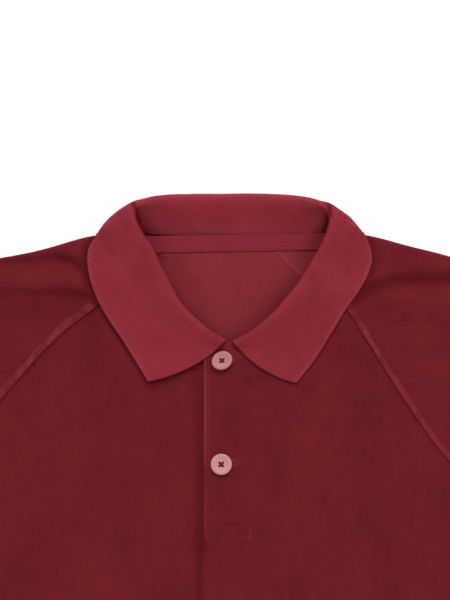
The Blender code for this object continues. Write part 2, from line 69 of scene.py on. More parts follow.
LOFT, EDGE_SOFTNESS, SHOULDER_SOFTNESS, FACETS = 2.5, 9, 14, 0.3
SHOULDER_LINE = 3.5  # how near the shoulder's edge its leaning folds end
SHOULDER_ROLL = (2 * CLOTH + GAP + LOFT) / 2
FALL_RISE = RIB + GAP + FACETS
FALL_HALF_WIDTH, FALL_DEPTH, FALL_CORNER, FALL_SLOPE = 96, 27, 14, 38
# Folds and troughs: x0, y0, x1, y1, half width, height.
RIDGES = [
    (-104, -38, -185, -52, 11, 3), (108, -44, 190, -62, 12, 2.8), (128, -58, 132, -96, 8, 1.4),
    (-32, -110, -30, -330, 16, 1.8), (40, -120, 190, -215, 30, 1.6), (-60, -150, -215, -235, 26, 1.8),
    (-205, -290, -120, -470, 24, 2.6), (215, -300, 150, -500, 26, 3), (-60, -430, -85, -690, 26, 3.2),
    (70, -470, 60, -690, 28, 2.4), (-190, -520, -175, -690, 22, 2.6), (185, -560, 190, -690, 20, 3),
    (-215, -95, -345, -185, 20, 3), (-262, -190, -335, -245, 16, 2.2), (205, -92, 350, -192, 19, 2.6),
    (255, -185, 330, -250, 17, 2.6),
]
# The collar from one leaf's point round the neck to the other's: neck seam x, y, fold x, y, z, heading and
# pitch of the knit there, outer edge x, y, z, heading and pitch.
COLLAR_ROWS = [
    (-9, -75.6, -4.4, -75.4, 12.4, 225, 0, -55.1, -101.2, 7.8, 191, 0),
    (-21.5, -72.6, -19.8, -66.8, 12.8, 219, 0, -65, -85, 7.8, 204, 0),
    (-36.8, -63.8, -34.6, -53.2, 14, 212, 0, -74.4, -70.2, 7.8, 204, 0),
    (-51.2, -49.2, -45, -35.8, 16, 209, 0, -86, -53.8, 7.9, 204, 0),
    (-61.8, -33.2, -54, -17.4, 19, 207, 0, -94, -36.5, 8.2, 204, 0),
    (-67, -20, -60.6, -5.4, 21.2, 204, -2, -96.7, -20.5, 8.8, 203, -4),
    (-69, -11.6, -63.8, 0.4, 22, 197, -4, -95.4, -10.4, 9.2, 209, -22),
    (-69.9, -6.6, -65.6, 4.6, 22, 186, -7, -91, -4.4, 7.4, 226, -58),
    (-70, -4.6, -66.5, 7.8, 21.6, 174, -12, -88, -0.8, 3.6, 246, -72),
    (-69.6, -3.2, -67.4, 11.4, 19.8, 164, -20, -85.8, -4.4, 1, 266, -14),
    (-64, -1.8, -67.6, 16.4, 14, 146, -42, -81, -13.4, 0.9, 270, 0),
    (-50, -2, -60.2, 20.8, 7.2, 122, -66, -68, -19.5, 0.9, 266, 0),
    (-30, -2.2, -36, 24.4, 3.4, 96, -87, -40, -21.8, 0.9, 267, 0),
    (0, -2.2, 3, 25.3, 2.9, 90, -90, 3, -21.8, 0.9, 270, 0),
    (30, -2.2, 37, 24.4, 3.4, 84, -87, 41, -21.8, 0.9, 273, 0),
    (50, -2, 61.4, 20.8, 7.2, 58, -66, 69, -19.5, 0.9, 274, 0),
    (64, -1.8, 70.1, 14.8, 14, 34, -42, 81, -13.4, 0.9, 270, 0),
    (69.6, -3.2, 70.9, 9.4, 19.8, 16, -20, 86.4, -4.4, 1, 274, -14),
    (70, -4.6, 70.3, 5.4, 21.6, 6, -12, 88.8, -0.8, 3.6, 294, -72),
    (69.9, -6.6, 69.2, 1.4, 22, -6, -7, 92.6, -2.8, 7.6, 316, -56),
    (69, -11.6, 67.6, -3.4, 22, -17, -4, 96, -9.6, 9.2, 331, -22),
    (67, -20, 64.2, -10.4, 21.4, -24, -2, 97.2, -21, 8.8, 335, -4),
    (61.8, -33.2, 57.6, -22, 20, -29, 0, 91.2, -35.4, 8.2, 334, 0),
    (51.2, -49.2, 46.9, -39, 18.5, -32, 0, 79.6, -52.4, 7.9, 334, 0),
    (36.8, -63.8, 34.5, -55.6, 16, -35, 0, 67.4, -71.8, 7.8, 335, 0),
    (21.5, -72.6, 20.5, -67.6, 13.4, -42, 0, 56.6, -88, 7.8, 338, 0),
    (9, -75.9, 3.4, -76.6, 12.4, -48, 0, 45.2, -102.3, 7.8, 348, 0),
]
# Where the photo's collar lies beside the solid's, first its inner edge, then the leaves' outer edges:
# x, y, move right, move up.
DRAWN_IN = [
    (-67, 15, -2.6, 6.2), (-62.2, 4.8, 1.2, 1.2), (-53.4, -14, 2.1, 1.1), (-43, -33.4, 2.2, 1.3),
    (-35.5, -47, 1.8, 1.3), (-25.6, -59.1, 2.1, 1.8), (-14.7, -67.4, 1, 1.2), (-3, -74, 0.2, 0.4),
    (70.4, 12.4, 1.8, 7.2), (67, 0, -0.6, 0.2), (55.2, -20.5, -0.5, 0.3), (46.8, -34.1, -0.5, 0.4),
    (36, -50, -1.4, 1.1), (30.3, -56.8, -1.5, 1.5), (24.4, -62.1, -1.1, 1.4), (10.1, -70.8, -0.5, 1.1),
    (2.2, -74.2, 0.4, 1), (-95.6, -10.4, 0.5, 0), (-96.7, -23, 0.7, 0), (-93, -38.5, 1.1, 0.2),
    (-86, -53.8, 0.8, 0.1), (96, -9.6, -1.4, -0.4), (97.4, -21, -1, 0), (91.2, -35.4, -1, -0.1),
    (80.6, -52.4, -0.9, 0.1), (70.4, -68, -0.5, 0.1),
]
DRAWN_REACH = 11  # of each row's move
# Each in front of the neck and behind it, in millimetres and degrees; handles are shares of the reach.
RADIUS_IN, RADIUS_OUT, TURN_OUT, STAND_RISE = (1.6, 1.9), (8, 1.9), (24, 90), (50, 8)
STAND_HANDLES, LEAF_HANDLE_OUT, LEAF_HANDLE_IN = (0.35, 0.3), (0.3, 0.41), (0.36, 0.64)
OUTLINE_CENTRE = (0, -20.4)  # of the angles at which the collar is drawn in to its outline
OUTLINE = [
    (-91.3, -2.2), (-88.1, 2.2), (-85.3, 5.8), (-81.8, 9.5), (-76.5, 14), (-70, 18.2), (-63, 21.6),
    (-54, 24), (-40.5, 25.5), (-23, 26), (-6, 26.1), (10, 26.3), (27.5, 26), (43, 25), (54.7, 23.4),
    (63, 21.1), (69, 19), (75, 15.1), (80.6, 10.9), (84.3, 7.3), (87.7, 3.3), (91.5, -1),
]
BUTTONS = [("button_1", -5.2, -87.5, 20), ("button_2", -5.6, -157.8, 0)]
BUTTON_WIDTH, BUTTON_HEIGHT, BUTTON_HOLE, BUTTON_HOLE_PITCH = 14.5, 2.6, 0.8, 1.18
THREAD_REACH = 1.24  # half a strand, over the holes' pitch

# ---- folds, shades and small measures

# As RIDGES: small creases of the body and sleeves.
CREASES = [
    (96, -45, 120, -42, 5, 0.6), (112, -58, 122, -56, 4, 0.5), (-20.6, -86, -20.3, -120, 3.4, -0.9),
    (-20.3, -120, -20.2, -216, 3.6, -1.6), (-20.2, -216, -20.6, -262, 4.2, -0.9),
    (17.5, -95, 18.5, -200, 6, 0.5), (-150, -150, -128, -250, 12, -0.6), (-96, -120, -84, -215, 12, 0.5),
    (-60, -190, -52, -280, 10, -0.5), (62, -160, 84, -255, 12, -0.6), (106, -150, 122, -240, 11, 0.5),
    (40, -200, 46, -290, 9, 0.4), (-235, -330, -150, -350, 12, -1), (238, -345, 160, -372, 12, -1),
    (-40, -470, -30, -640, 12, -0.9), (110, -560, 118, -694, 12, -1), (-140, -600, -134, -694, 12, -0.9),
    (-285, -160, -330, -215, 10, -0.9), (280, -150, 335, -215, 10, -0.9), (238, -235, 262, -300, 9, 0.8),
    (-240, -232, -258, -300, 9, 0.8),
]
# The shoulders' folds: height, half width above, half width below, line.
LEANING = [
    (2.1, 9, 4.3, (-135, -38), (-118, -36.5), (-106, -37), (-96, -39)),
    (1, 9, 5.5, (-215, -52), (-180, -40), (-156, -36), (-135, -37)),
    (-1.2, 4.5, 4.5, (-170, -23.5), (-150, -20), (-134, -19.5), (-122, -18.5), (-113, -18.5)),
    (-1.2, 4, 3, (-116, -18.5), (-107, -20), (-102, -23.5), (-95, -30)),
    (0.8, 5, 5, (-107, -15), (-99, -16)),
    (1.2, 7.5, 3.2, (95, -34), (104, -29.5), (114, -27.5), (127, -27), (138, -26.5), (155, -26)),
    (-2, 4.5, 6, (86, -47), (92, -43), (99.6, -39.5), (109, -37.6), (117, -37), (127, -37), (138, -36.5),
     (155, -37), (172, -40)),
    (0.8, 3, 3, (130, -65), (130.2, -82)), (-0.7, 3.2, 3.2, (136.6, -60), (137, -84)),
    (0.9, 3, 3, (145, -61), (145.5, -79)),
]
# As RIDGES: on the top placket, and inside the neck.
STRIP_CREASES = [
    (-4, -188.6, 8, -189.6, 1.5, -0.32), (-6, -187, 6, -187.6, 1.4, 0.20),
    (-6, -197, 9, -196.6, 1.6, 0.16), (-7, -199.6, 9.5, -199.2, 1.6, -0.20),
    (-11, -171, -4, -183, 2.4, 0.18),
]
INSIDE_FOLDS = [(-1, -22, 12, -44, 3.4, 0.9), (10, -16, 30, -22, 5, 0.3)]
# Wavelength in x, wavelength in y, phase, height.
UNEVEN = [
    (61, 93, 0.4, 0.16), (-47, 71, 1.9, 0.14), (38, -120, 3.1, 0.11), (150, 33, 5, 0.10),
    (-27, 44, 2.2, 0.07), (22, 31, 4.1, 0.05), (19, -25, 0.9, 0.04),
]
# Lines of painted shade (the _SHADE tables and NECK_CORNERS) and painted light (the _LIGHT tables), a little
# darker or lighter: strength, half width, line.
BODY_SHADE = [
    (0.22, 5, (-20.6, -86), (-20.4, -120)), (0.34, 5.5, (-24.5, -88), (-22.5, -104)),
    (0.34, 3.4, (-20, -120), (-20, -215)), (0.42, 2.8, (-20.2, -215), (-20.8, -270)),
    (0.14, 12, (-92, -60), (-90, -92)), (0.14, 10, (68, -74), (86, -84)), (0.20, 5, (22, -98), (34, -94)),
    (0.10, 26, (-75, -112), (-48, -150)), (0.22, 5, (-79, -62), (-52, -104), (-32, -98)),
    (0.18, 5, (36, -94), (54, -108), (62, -96)),
]
BODY_LIGHT = [
    (0.24, 1.9, (-84.7, -63.6), (-57, -100.4)), (0.24, 1.9, (15, -89), (46.6, -101.8)),
    (0.12, 1.1, (-16.9, -213), (-16.6, -230)),
]
SLEEVE_SHADE = [
    (0.46, 2.4, (-91.5, -2.5), (-97, -9), (-99, -18), (-98.5, -30), (-96, -38)),
    (0.42, 2.4, (92.6, -1.4), (97.8, -9.2), (99, -18), (96.4, -28), (91, -39)),
    (0.34, 3.6, (-93, -32), (-88, -44)), (0.36, 4, (96, -34), (86, -46)),
    (0.34, 5, (-175, -41.5), (-128, -41), (-97, -42)), (0.12, 12, (-140, -50), (-103, -56)),
    (0.34, 4.2, (-170, -23), (-150, -18.5), (-118, -16.5)),
    (0.56, 3, (-116, -17), (-107, -19.5), (-101, -24), (-95, -31)),
    (0.38, 5.2, (92, -42), (100, -36), (112, -32.5), (150, -31), (178, -33)),
    (0.70, 3.4, (-92, -47), (-87.5, -51)),
]
NECK_CORNERS = [
    (0.6, 9, (-36, -18), (-27, -34)), (2.2, 2.6, (-50.5, -12.5), (-46, -17.5)),
    (0.9, 3, (56, -4), (50, -16)), (0.5, 3.5, (-9, -71.5), (0, -74), (9, -71)),
]
STAND_SHADE = [
    (0.85, 3, (-67.6, 19.6), (-64.6, 12.2), (-61.2, 6.8)), (0.60, 6.5, (-60, 5), (-57.1, 0.4)),
    (0.80, 3, (69.9, 18.7), (69.4, 12.2), (67.4, 6.8), (64.4, 1.4)), (0.35, 5, (66.5, 7), (62, 0.4)),
]
STAND_LIGHT = [(0.16, 5, (-55, 16), (-50, 9)), (0.16, 5, (64, 16), (60, 9))]
LEAF_LIGHT = [
    (0.17, 9, (66, -24), (70, -34)), (0.14, 6, (52, -36), (27, -55)), (0.12, 8, (-66, -4), (-71, -20)),
    (0.12, 4, (-47, -36), (-20, -62)),
]
LEAF_SHADE = [(0.12, 11, (-40, -74), (-22, -79)), (0.12, 13, (40, -74), (66, -74))]
CORNER_SHADE = [
    (0.95, 1.5, (-66.2, 20), (-65, 18), (-64.3, 15.6), (-63.6, 12.2)),
    (0.95, 1.5, (65.8, 20.2), (67.2, 18.4), (67.8, 16.2), (68, 10.5)),
]
STRIP_LIGHT = [
    (0.24, 0.6, (14.3, -201.5), (14.3, -208)), (0.18, 0.6, (5, -207.2), (14, -207.4)),
    (0.20, 5, (11, -78), (12, -82)), (0.30, 4, (-4, -76.5), (5, -83)), (0.22, 1.8, (6, -85), (15, -89)),
]
STRIP_SHADE = [
    (0.34, 0.9, (1.5, -199), (6.5, -199.8)), (0.26, 2.6, (-14, -88), (-13, -95)),
    (0.20, 3, (7.5, -86.5), (14, -90)), (0.20, 1.2, (-5, -198.4), (1, -199)),
    (0.20, 5, (22, -98), (14, -101)), (0.09, 12, (0, -112), (0, -190)),
]
STRIP_MARKS = [(-16.9, -203.3, 1.3), (-14.6, -208, 1.2), (14.3, -208.4, 1.3)]  # small light marks: x, y, size
NECK_DARK, NECK_NEAR, NECK_FAR = 0.24, 3.4, 10  # the shade inside the neck, and how far it reaches
# x, and how far up the shoulder's fold is drawn there.
SHOULDER_TRIM = [
    (-175, 0), (-156, 1.2), (-147, 0), (-136, -0.7), (-124, -0.6), (-108, -0.2), (-95, 0), (95, 0.45),
    (150, 0.35), (190, 0),
]
BUTTON_LEAN, BUTTON_NARROW = 28, 0.86  # the top button's tilt is about a line this far from level
WALE = 0.0015  # metres from one wale of the pile's knit to the next
LIFT_ACROSS, LIFT_DOWN = (-8, 50), (-285, -185)  # x and y between which the placket's rise runs out
SEAM_GAP = 0.02  # between a sleeve and a panel
BAND = {"left": 5.9, "right": 4.9}  # width of the raised seam allowance beside the raglan seams
BAND_RISE, BAND_WAVER, BAND_LUMP = 0.62, 0.75, 0.18  # its height, how its width wavers, its small lumps
BAND_DENT, DENT_PITCH = 0.42, (6, 12)  # dents across it, and how far from one to the next
SLEEVE_PUCKER, SLEEVE_DIP = 0.22, 0.24  # of the sleeve beside the band
RIB_PITCH = 1.64  # along the collar's fold
RIBS_IN_UV, LOOP_PITCH = 100, 1.3  # the strip layer's units
STAND_CELLS, ROLL_IN_CELLS, ROLL_OUT_CELLS, LEAF_CELLS = 7, 5, 7, 22
DEEPEST = -2.3  # of the front's troughs, against its loft
HEM_TURN, HEM_STITCHES = (22.5, 24), (15.5, 21.5)  # from the edge: where the turned hem ends, its rows
HEM_RISE, HEM_SINK = 0.3, 0.28  # of the turned cloth, and of its stitches into it
SEAM_PUCKER, SEAM_SINK = 0.16, 0.12  # of the panels at the raglan seams
SEWN_STEP = 0.8  # between the points of a sewing line
HEM_SEWING = (2.9, 2.3, 0.55, 0.24)  # of its stitches: pitch, length, width, rise
PLACKET_SEWING, TAPE_SEWING = (2.6, 2, 0.36, 0.10), (2.4, 1.8, 0.4, 0.16)
TAPE_LINES = (0.10, 0.90)  # where the tape is sewn, as shares of its width
TAPE_HALF, TAPE_TWILL = 66, 1.9  # half its length, and its ribs' pitch
RIB_DEPTH = (0.018, 0.13, 0.06)  # on the fall, more on the stand, more at the fold and the outer edge
RIB_TOOTH, LEAF_SAG = 0.28, 0.3  # how far the ribs stand out of the outer edge, how uneven the leaves lie
STRIP_LEFT, STRIP_RIGHT, STRIP_FOOT_Y = SLIT_LEFT - 0.5, 18.5, -212  # where the strip runs out into the front
BOX = [(SLIT_LEFT + 1.4, -199.8), (SLIT_RIGHT - 0.6, -199.8), (SLIT_RIGHT - 0.6, -206.6),
       (SLIT_LEFT + 1.4, -206.6), (SLIT_LEFT + 1.4, -199.8)]
BUTTON_FLOOR, BUTTON_BEVEL = 0.76, 0.12  # share of the height, millimetres
HOLE_LEFT, HOLE_RIGHT = 2.5, (8.6, 12.1)  # how far each buttonhole reaches from its button's middle
HOLE_OPEN = 4.6  # how far from its right end its lips go on parting
THREAD_RADIUS, STRANDS = 0.2, (-0.30, 0, 0.30)  # the button's thread: its strands lie side by side
PROFILE = [  # share of the radius, share of the height
    (0, BUTTON_FLOOR), (0.20, BUTTON_FLOOR), (0.40, 0.765), (0.50, 0.785), (0.58, 0.83), (0.66, 0.90),
    (0.73, 0.96), (0.78, 0.985), (0.82, 0.965), (0.86, 0.99), (0.90, 0.98), (0.94, 0.93), (0.975, 0.84),
    (1, 0.66), (1, 0.48), (0.97, 0.30), (0.90, 0.13), (0.78, 0.03), (0.60, 0), (0, 0),
]

# ---- curves and soft forms


def spline_at(rows, place):
    """Rows of a smooth curve through a table's rows, at places counted in rows."""
    rows = np.asarray(rows, float)
    padded = np.vstack([2 * rows[0] - rows[1], rows, 2 * rows[-1] - rows[-2]])
    first = np.clip(place.astype(int), 0, len(rows) - 2)
    t = (place - first)[:, None]
    a, b, c, d = (padded[first + step] for step in range(4))
    return 0.5 * (2 * b + (c - a) * t + (2 * a - 5 * b + 4 * c - d) * t**2 + (3 * b - a - 3 * c + d) * t**3)


def fine_curve(points):
    return spline_at(points, np.linspace(0, len(points) - 1, 24 * (len(points) - 1) + 1))


def lengths(line):
    """Distance along a line of points, or along each column of a grid."""
    steps = np.linalg.norm(np.diff(line, axis=0), axis=-1)
    return np.concatenate([np.zeros_like(steps[:1]), np.cumsum(steps, axis=0)])


def at_lengths(line, along, places):
    """Points at distances along a line, whose own points lie at the distances given."""
    return np.stack([np.interp(places, along, line[:, k]) for k in range(line.shape[1])], axis=-1)


def at_shares(line, shares):
    along = lengths(line)
    return at_lengths(line, along / along[-1], shares)


def joined(*parts):
    return np.stack(parts, axis=-1)


def side_normals(line):
    way = np.gradient(line, axis=0)
    way /= np.linalg.norm(way, axis=1, keepdims=True)
    return joined(-way[:, 1], way[:, 0])


def unit(vectors):
    return vectors / np.maximum(np.linalg.norm(vectors, axis=-1, keepdims=True), 1e-9)


def direction(heading, pitch):
    heading, pitch = np.radians(heading), np.radians(pitch)
    level = np.cos(pitch)
    return joined(level * np.cos(heading), level * np.sin(heading), np.sin(pitch))


def bezier(start, way_out, way_in, end, cells):
    t = np.linspace(0, 1, cells + 1)[1:, None, None]
    return (1 - t) ** 3 * start + 3 * (1 - t) ** 2 * t * way_out + 3 * (1 - t) * t**2 * way_in + t**3 * end


def smoothstep(low, high, value):
    t = np.clip((value - low) / (high - low), 0, 1)
    return t * t * (3 - 2 * t)


def bell(away):
    return np.exp(-(away**2))


def by_pieces(line, x, y):
    """How far a place is from each straight piece of a line, and on which side of it."""
    for (ax, ay), (bx, by) in zip(line[:-1], line[1:]):
        way_x, way_y = bx - ax, by - ay
        along = np.clip(((x - ax) * way_x + (y - ay) * way_y) / (way_x**2 + way_y**2), 0, 1)
        away = np.hypot(x - ax - along * way_x, y - ay - along * way_y)
        yield away, way_x * (y - ay) - way_y * (x - ax)


def distance_to(line, x, y):
    nearest = np.full(np.shape(x), np.inf)
    for away, _ in by_pieces(line, x, y):
        nearest = np.minimum(nearest, away)
    return nearest


def signed_distance(line, x, y):
    """Distance to a line drawn from left to right, negative below it."""
    nearest, side = np.full(np.shape(x), np.inf), np.ones(np.shape(x))
    for away, cross in by_pieces(line, x, y):
        side = np.where(away < nearest, np.where(cross < 0, -1, 1), side)
        nearest = np.minimum(nearest, away)
    return side * nearest


def folds(table, x, y):
    """Sum of soft straight ridges and troughs."""
    total = np.zeros(np.shape(x))
    for x0, y0, x1, y1, half_width, height in table:
        total += height * bell(distance_to([(x0, y0), (x1, y1)], x, y) / half_width)
    return total


def leaning_folds(x, y):
    """The folds of the shoulders: each falls away steeply on one side and gently on the other."""
    total = np.zeros(np.shape(x))
    for height, above, below, *line in LEANING:
        away = signed_distance(fine_curve(line)[::6], x, y)
        total += height * bell(away / np.where(away < 0, below, above))
    left, right = [row[7:9] for row in COLLAR_ROWS[:9]], [row[7:9] for row in COLLAR_ROWS[:17:-1]]
    outside = np.where(x < 0, signed_distance(left, x, y), -signed_distance(right, x, y))
    return total * smoothstep(-1.5, 3, outside)


def shaded(x, y, table):
    """The strongest of a table's soft lines at each place."""
    total = np.zeros(np.shape(x))
    for strength, half_width, *line in table:
        total = np.maximum(total, strength * bell(distance_to(line, x, y) / half_width))
    return total


def uneven(x, y):
    """Low unevenness of cloth smoothed out by hand."""
    bent_x = x + 9 * np.sin(y / 37 + 1.3)
    bent_y = y + 8 * np.sin(x / 41 + 0.7)
    total = np.zeros(np.shape(x))
    for wave_x, wave_y, phase, height in UNEVEN:
        total += height * np.sin(2 * math.pi * (bent_x / wave_x + bent_y / wave_y) + phase)
    return total


def wander(place, pitch, seed):
    """A smooth random line, about -1 to 1, with a new value at each pitch."""
    values = np.random.default_rng(seed).uniform(-1, 1, 900)
    spot = np.abs(np.asarray(place, float) / pitch) % 898
    first = spot.astype(int)
    share = smoothstep(0, 1, spot - first)
    return values[first] * (1 - share) + values[first + 1] * share


# ---- the two layers


def fall_distance(x, y):
    across = np.maximum(np.abs(x) - (FALL_HALF_WIDTH - FALL_CORNER), 0)
    down = np.maximum(-y - (FALL_DEPTH - FALL_CORNER), 0)
    return np.hypot(across, down) - FALL_CORNER


def back_height(x, y):
    """Underside of the back layer."""
    return FALL_RISE * (1 - smoothstep(1, FALL_SLOPE, fall_distance(x, y)))


def front_height(x, y):
    """Upper side of the front layer, with its large folds and small creases."""
    mirrored = np.abs(x)
    closing = 1 - bell(distance_to([CUFF_FOOT, ARMPIT, (HEM_X, HEM_Y)], mirrored, y) / EDGE_SOFTNESS)
    shoulder = distance_to(SHOULDER_EDGE, mirrored, y)
    soft = folds(RIDGES, x, y) + folds(CREASES, x, y) + uneven(x, y)
    soft = (1 - bell(shoulder / SHOULDER_SOFTNESS)) * soft
    soft = soft + (1 - bell(shoulder / SHOULDER_LINE)) * leaning_folds(x, y)
    return back_height(x, y) + 2 * CLOTH + GAP + closing * (LOFT + np.maximum(soft, DEEPEST))


def hem_relief(away):
    """A hem turned in and sewn with two rows of stitches, away from its edge."""
    sewn = sum(bell((away - row) / 0.7) for row in HEM_STITCHES)
    return HEM_RISE * (1 - smoothstep(*HEM_TURN, away)) - HEM_SINK * sewn


def cuff_distance(x, y):
    (ax, ay), (bx, by) = CUFF_TOP, CUFF_FOOT
    return ((bx - ax) * (y - ay) - (by - ay) * (np.abs(x) - ax)) / math.hypot(bx - ax, by - ay)


def top_y(x, raglan, *middle):
    """A panel's upper edge: its left raglan seam, what lies between, and its right raglan seam."""
    left, right = (fine_curve(raglan[side]) for side in ("left", "right"))
    line = np.vstack([left[::-1], *map(fine_curve, middle), right])
    return np.interp(x, line[:, 0], line[:, 1])


def front_top_y(x):
    return top_y(x, FRONT_RAGLAN, FRONT_NECK)


def placket_lift(x, y):
    """How far the strip, and the front that it runs out into, stand over the under placket."""
    return (GAP + PLACKET) * (1 - smoothstep(*LIFT_ACROSS, x)) * smoothstep(*LIFT_DOWN, y)


def front_ground(x, y):
    """What the collar's leaves lie on."""
    near = 1 - smoothstep(*PLACKET_MARGIN, np.maximum(SLIT_LEFT - x, x - SLIT_RIGHT))
    return front_height(x, y) + np.maximum((GAP + PLACKET) * near, placket_lift(x, y))


# ---- meshes


def placed(name, data):
    """A new object in the scene."""
    made = bpy.data.objects.new(name, data)
    bpy.context.scene.collection.objects.link(made)
    return made


def new_object(name, verts, faces, materials, which=None, layers=(), level=NECK_LEVEL):
    """A smooth mesh from points in millimetres. which numbers each face's material."""
    mesh = bpy.data.meshes.new(name)
    verts = (np.asarray(verts, float) + [0, level, 0]) * MM
    mesh.from_pydata(verts.tolist(), [], faces if isinstance(faces, list) else faces.tolist())
    for finish in materials:
        mesh.materials.append(finish)
    if which is not None:
        mesh.polygons.foreach_set("material_index", np.asarray(which, np.int32))
    corner = np.zeros(len(mesh.loops), np.int32)
    mesh.loops.foreach_get("vertex_index", corner)
    for label, place in dict(layers).items():
        mesh.uv_layers.new(name=label).data.foreach_set("uv", np.asarray(place, float)[corner].ravel())
    mesh.shade_smooth()
    mesh.validate()
    return placed(name, mesh)


def grid_normals(points):
    """Unit normals of a grid, on the side that its faces look to."""
    down, right = np.gradient(points, axis=0), np.gradient(points, axis=1)
    return unit(np.cross(down, right))


def shell(name, points, wall, materials, rim=0.3, middle=False, left_out=None, strip=None, wear=None):
    """A closed sheet with soft edges on a grid of points. Its wall lies behind the points, or half to
    each side where they are its middle. The first material is outside, the second inside. strip is
    where a point lies on the knitted strip, and the last argument how far its surface is lightened,
    for rubbed pile and painted highlights, and darkened with painted shade."""
    rows, columns = points.shape[:2]
    corner = (np.arange(rows - 1)[:, None] * columns + np.arange(columns - 1)[None]).ravel()
    quads = np.stack([corner, corner + columns, corner + columns + 1, corner + 1], axis=1)
    if left_out is not None:
        quads = quads[~left_out.ravel()]
    used = np.unique(quads)
    number = np.full(rows * columns, -1)
    number[used] = np.arange(len(used))
    quads = number[quads]
    flat, normals = points.reshape(-1, 3)[used], grid_normals(points).reshape(-1, 3)[used]
    count = len(flat)
    outer = flat + normals * (wall / 2 if middle else 0)
    inner = outer - normals * wall

    sides = np.concatenate([quads[:, [k, (k + 1) % 4]] for k in range(4)])
    key = sides.min(axis=1) * count + sides.max(axis=1)
    _, where, times = np.unique(key, return_index=True, return_counts=True)
    border = sides[where[times == 1]]
    way = unit(flat[border[:, 1]] - flat[border[:, 0]])
    outward = np.zeros_like(flat)
    for end in range(2):
        np.add.at(outward, border[:, end], np.cross(way, normals[border[:, end]]))
    ring = np.unique(border)
    outward = unit(outward[ring])
    place = np.full(count, -1)
    place[ring] = np.arange(len(ring))
    centre = (outer[ring] + inner[ring]) / 2
    verts, faces, levels = [outer, inner], [quads, quads[:, ::-1] + count], []
    for step, turn in enumerate(np.radians([50, 90, 130])):
        verts.append(centre + wall / 2 * (math.cos(turn) * normals[ring] + rim * math.sin(turn) * outward))
        levels.append(2 * count + step * len(ring) + place)
    a, b = border.T
    chain = [np.arange(count), *levels, np.arange(count) + count]
    for upper, lower in zip(chain, chain[1:]):
        faces.append(np.stack([upper[b], upper[a], lower[a], lower[b]], axis=1))
    which = np.concatenate([np.full(len(f), int(k == 1 and len(materials) > 1)) for k, f in enumerate(faces)])
    layers = {"wear": np.zeros((rows, columns, 2)) if wear is None else wear}
    if strip is not None:
        layers = {"strip": strip, **layers}
    for label, values in layers.items():
        values = values.reshape(-1, 2)[used]
        layers[label] = np.vstack([values, values, *([values[ring]] * 3)])
    return new_object(name, np.vstack(verts), np.vstack(faces), materials, which, layers)


def stations(breaks, counts):
    parts = [np.linspace(a, b, count, endpoint=False) for a, b, count in zip(breaks, breaks[1:], counts)]
    return np.concatenate([*parts, [breaks[-1]]])


def tube_faces(base, rings, around, closed=False):
    """Quads of a tube, whose rings of points follow each other from the point numbered base."""
    spots = base + np.arange(rings * around).reshape(rings, around)
    after = np.roll(spots, -1, axis=0) if closed else spots[1:]
    spots = spots[: len(after)]
    quads = [spots, np.roll(spots, -1, axis=1), np.roll(after, -1, axis=1), after]
    return np.stack(quads, axis=-1).reshape(-1, 4)


def stitches(name, lines, finish, pitch, length, width, rise):
    """Rows of sewing stitches on lines of points, each a low spindle on the cloth."""
    ends = []
    for line in lines:
        along = lengths(line)
        count = max(int(along[-1] / pitch), 1)
        middle = (np.arange(count) + 0.5) * along[-1] / count
        ends.append(np.stack([at_lengths(line, along, middle + k * length) for k in (-0.5, 0.5)], axis=1))
    start, end = np.concatenate(ends).transpose(1, 0, 2)
    way = unit(end - start)
    side = unit(np.cross(way, [0, 0, 1]))
    up = np.cross(side, way)
    verts = [start - up * 0.1]
    for share, size in ((0.16, 0.75), (0.5, 1), (0.84, 0.75)):
        for out, high in ((0.5, -0.06), (0.2, rise * size), (-0.2, rise * size), (-0.5, -0.06)):
            verts.append(start + share * (end - start) + side * (out * width * size) + up * high)
    verts = np.stack([*verts, end - up * 0.1], axis=1)
    per, form = verts.shape[1], []
    for k in range(3):
        form += [(0, k + 2, k + 1), (per - 1, k + 9, k + 10)]
        form += [(first + k, first + k + 1, first + k + 5, first + k + 4) for first in (1, 5)]
    faces = [[base + c for c in face] for base in range(0, len(verts) * per, per) for face in form]
    return new_object(name, verts.reshape(-1, 3), faces, [finish])


# ---- finishes

# Tints for the two stored numbers: lighter for rubbed pile and painted highlights, darker for painted shade.
RUBBED_AND_LIT_TINT, PAINTED_SHADE_TINT, SHEEN = (1.75, 2.75, 2.65), (0.38, 0.12, 0.10), (0.9, 0.25, 0.35, 1)


